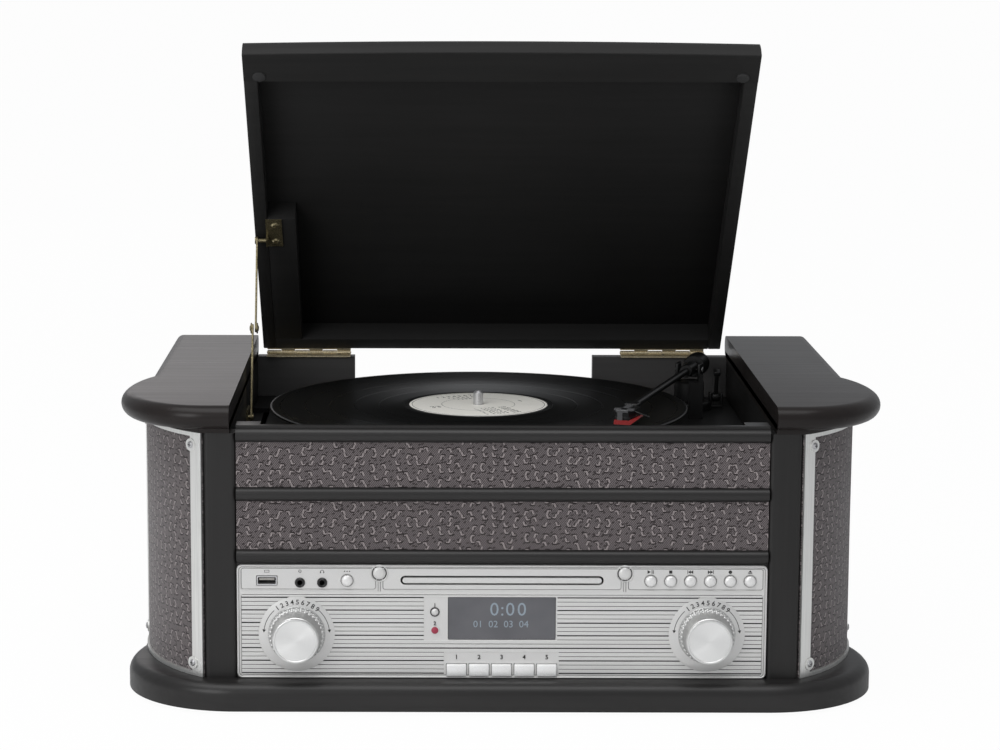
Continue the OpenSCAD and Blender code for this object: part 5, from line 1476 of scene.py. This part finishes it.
lid_paint = matt_black("lid_paint", (0.014, 0.0137, 0.0134), (0.022, 0.0216, 0.0212))
panel_paint = matt_black("panel_paint", (0.012, 0.0118, 0.0116), (0.0195, 0.0191, 0.0188))
hinge = Vector((0, 0.1702, 0.1938))
lid_swing = 45.56                            # degrees from open to closed
opened = (Matrix.Translation(hinge) @ Matrix.Rotation(math.radians(-lid_swing), 4, "X")
          @ Matrix.Translation(-hinge))
lid_half = 0.1779
lid_back = 0.1678
lid_front_y = lid_back - 0.3336
lid_rim = 0.1956
lid_t = 0.021
lid_depth = 0.016
lid_side = 0.0095
lid_round = 0.018
front_in = lid_front_y + 0.027


def bow(inset):
    """The lid's front edge, which bows out a little in the middle."""
    points = []
    for i in range(-16, 17):
        s = i / 16
        points.append((s * lid_half, lid_front_y + inset - 0.0025 * (1 - s * s)))
    return points + [(lid_half, front_in), (-lid_half, front_in)]


lid = bmesh.new()
rings = [(0.0005, 0), (0, 0.0005), (0, lid_t - lid_round)]
rings += [(lid_round * (1 - math.cos(math.radians(6 * i))),
           lid_t - lid_round + lid_round * math.sin(math.radians(6 * i))) for i in range(1, 15)]
rings.append((lid_round * 0.93, lid_t))
add_rings(lid, [[(x, y, lid_rim + height) for x, y in bow(inset)] for inset, height in rings])
for side in (-1, 1):
    x0, x1 = sorted((side * lid_half, side * (lid_half - lid_side)))
    add_block(lid, (x0, front_in + 0.0001, lid_rim), (x1, lid_back, lid_rim + lid_depth), 0.0006)
add_block(lid, (lid_side - lid_half, lid_back - 0.012, lid_rim),
          (lid_half - lid_side, lid_back, lid_rim + lid_depth), 0.0006)
add_block(lid, (lid_side - lid_half, lid_back - 0.158, lid_rim),
          (lid_side - lid_half + 0.021, lid_back - 0.0121, lid_rim + lid_depth), 0.0006)
finish_at("lid_boards", lid, opened, [lid_paint], "lid", ["lid_frame"])
cover = bmesh.new()
add_block(cover, (-lid_half, front_in + 0.0001, lid_rim + lid_depth),
          (lid_half, lid_back, lid_rim + lid_t), 0.0008)
finish_at("lid_cover", cover, opened, [panel_paint], "lid", ["lid_panel"])
bumpers = bmesh.new()
bumper_x = 0.167
for x in (-bumper_x, bumper_x):
    add_turned(bumpers, [(0, 0.0003), (0.0045, 0.0003), (0.0045, -0.0006), (0.0041, -0.0011),
                         (0.0028, -0.0014), (0, -0.0015)], (x, lid_front_y + 0.022, lid_rim),
               (0, 0, 1), 32)
finish_at("lid_buttons", bumpers, opened, [foot_rubber], "lid", ["lid_bumpers"])


# ------------------------------------------------------------------ hinge rail, hinges and stay
# A board across the back carries two butt hinges of dull brass. A jointed brass stay on the left,
# riveted to a bracket on the cabinet and to a clip on the lid, holds the lid open.
# The rail's black stain is made far lighter than the others, as painted light on a board the lid
# shades.
lit_rail_stain = stained_wood("lit_rail_stain", 0, (0.05, 0.0485, 0.048), (0.072, 0.07, 0.069), 0.45)
dress("hinge_rail", lit_rail_stain)
dull_brass = aged_brass("dull_brass", (0.5, 0.42, 0.27), (0.93, 0.83, 0.6))
stay_brass = aged_brass("stay_brass", (0.13, 0.11, 0.06), (0.52, 0.45, 0.27), 0.34)
for node in ("hinge_leaves", "hinge_flaps"):
    dress(node, dull_brass)
for node in ("stay_lower_arm", "stay_upper_arm", "stay_bracket", "stay_clip"):
    dress(node, stay_brass)

stay_foot = Vector((0, 0.024, 0.168))
stay_head = Vector((0, 0.070819, 0.292286))
elbow = (stay_foot + stay_head) / 2
for body, node, x, way in (("stay_lower", "stay_lower_arm", -0.1792, -1),
                           ("stay_upper", "stay_upper_arm", -0.1758, 1)):
    washer = bmesh.new()
    add_turned(washer, [(0, 0), (0.0038, 0), (0.0040, 0.0002), (0.0040, 0.0007), (0.0036, 0.0010),
                        (0.0022, 0.0010), (0.0020, 0.0014), (0.0012, 0.0017), (0, 0.0018)],
               (x, elbow.y, elbow.z), (way, 0, 0), 40)
    finish_piece(node + "_washer", washer, [stay_brass], body)


rail_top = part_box("hinge_rail")[1].z
hinge_xs = (-0.1425, 0.1325)
screw_step = 0.024
leaf_spots = [(x + i * screw_step, 0.1615, rail_top + 0.0011) for x in hinge_xs
              for i in (-1, 0, 1)]
grow("leaf_screws", leaf_spots, screw_tree(dull_brass, black_plastic), {"Head": 0.0019}, "cabinet")


# ------------------------------------------------------------------ back and inside
# Dark hardboard closes the back, with the line sockets and the mains inlet. Behind the fascia are
# the disc drive in its steel case, the control board and the power supply, and a loudspeaker stands
# in each side box.
def hardboard(name):
    """Pressed brown-black board with a pebbled back."""
    material, tree, shader, place = new_finish(name, (0.02, 0.017, 0.015), 0.7)
    pebbles = add_node(tree, "ShaderNodeTexVoronoi", {"Vector": place, "Scale": 900})
    tree.links.new(blend_colours(tree, pebbles.outputs["Distance"], (0.03, 0.026, 0.022),
                                 (0.012, 0.011, 0.01)), shader.inputs["Base Color"])
    relief(tree, shader, pebbles.outputs["Distance"], 0.35, 0.0002)
    return material


def circuit_green(name):
    """Green lacquer over copper tracks, with pale solder spots."""
    material, tree, shader, place = new_finish(name, (0.01, 0.06, 0.02), 0.4)
    upright = stretched(tree, place, (1, 1, 1), (math.pi / 2, 0, 0))
    tracks = add_node(tree, "ShaderNodeTexBrick",
                      {"Vector": upright, "Scale": 60, "Mortar Size": 0.03,
                       "Color1": (0.008, 0.05, 0.018, 1), "Color2": (0.01, 0.065, 0.024, 1),
                       "Mortar": (0.03, 0.13, 0.04, 1)})
    solder = add_node(tree, "ShaderNodeTexVoronoi", {"Vector": place, "Scale": 260})
    spots = between(tree, solder.outputs["Distance"], 0.16, 0.2, 1, 0)
    tree.links.new(blend_colours(tree, spots, tracks.outputs["Color"], (0.45, 0.45, 0.43)),
                   shader.inputs["Base Color"])
    return material


def wound_core(name):
    """Laminated iron with the thin dark lines of its sheets."""
    material, tree, shader, place = new_finish(name, (0.2, 0.2, 0.2), 0.5, 0.6)
    sheets = add_node(tree, "ShaderNodeTexWave", {"Vector": place, "Scale": 500})
    tree.links.new(blend_colours(tree, sheets.outputs["Fac"], (0.08, 0.078, 0.075),
                                 (0.24, 0.23, 0.22)), shader.inputs["Base Color"])
    return material


dress("rear_panel", hardboard("hardboard"))
dress("rear_sockets", socket_black)
dress("control_board", circuit_green("circuit_green"))
dress("power_supply", wound_core("wound_core"))
dress("speakers", paper("cone_paper", (0.02, 0.019, 0.018)))
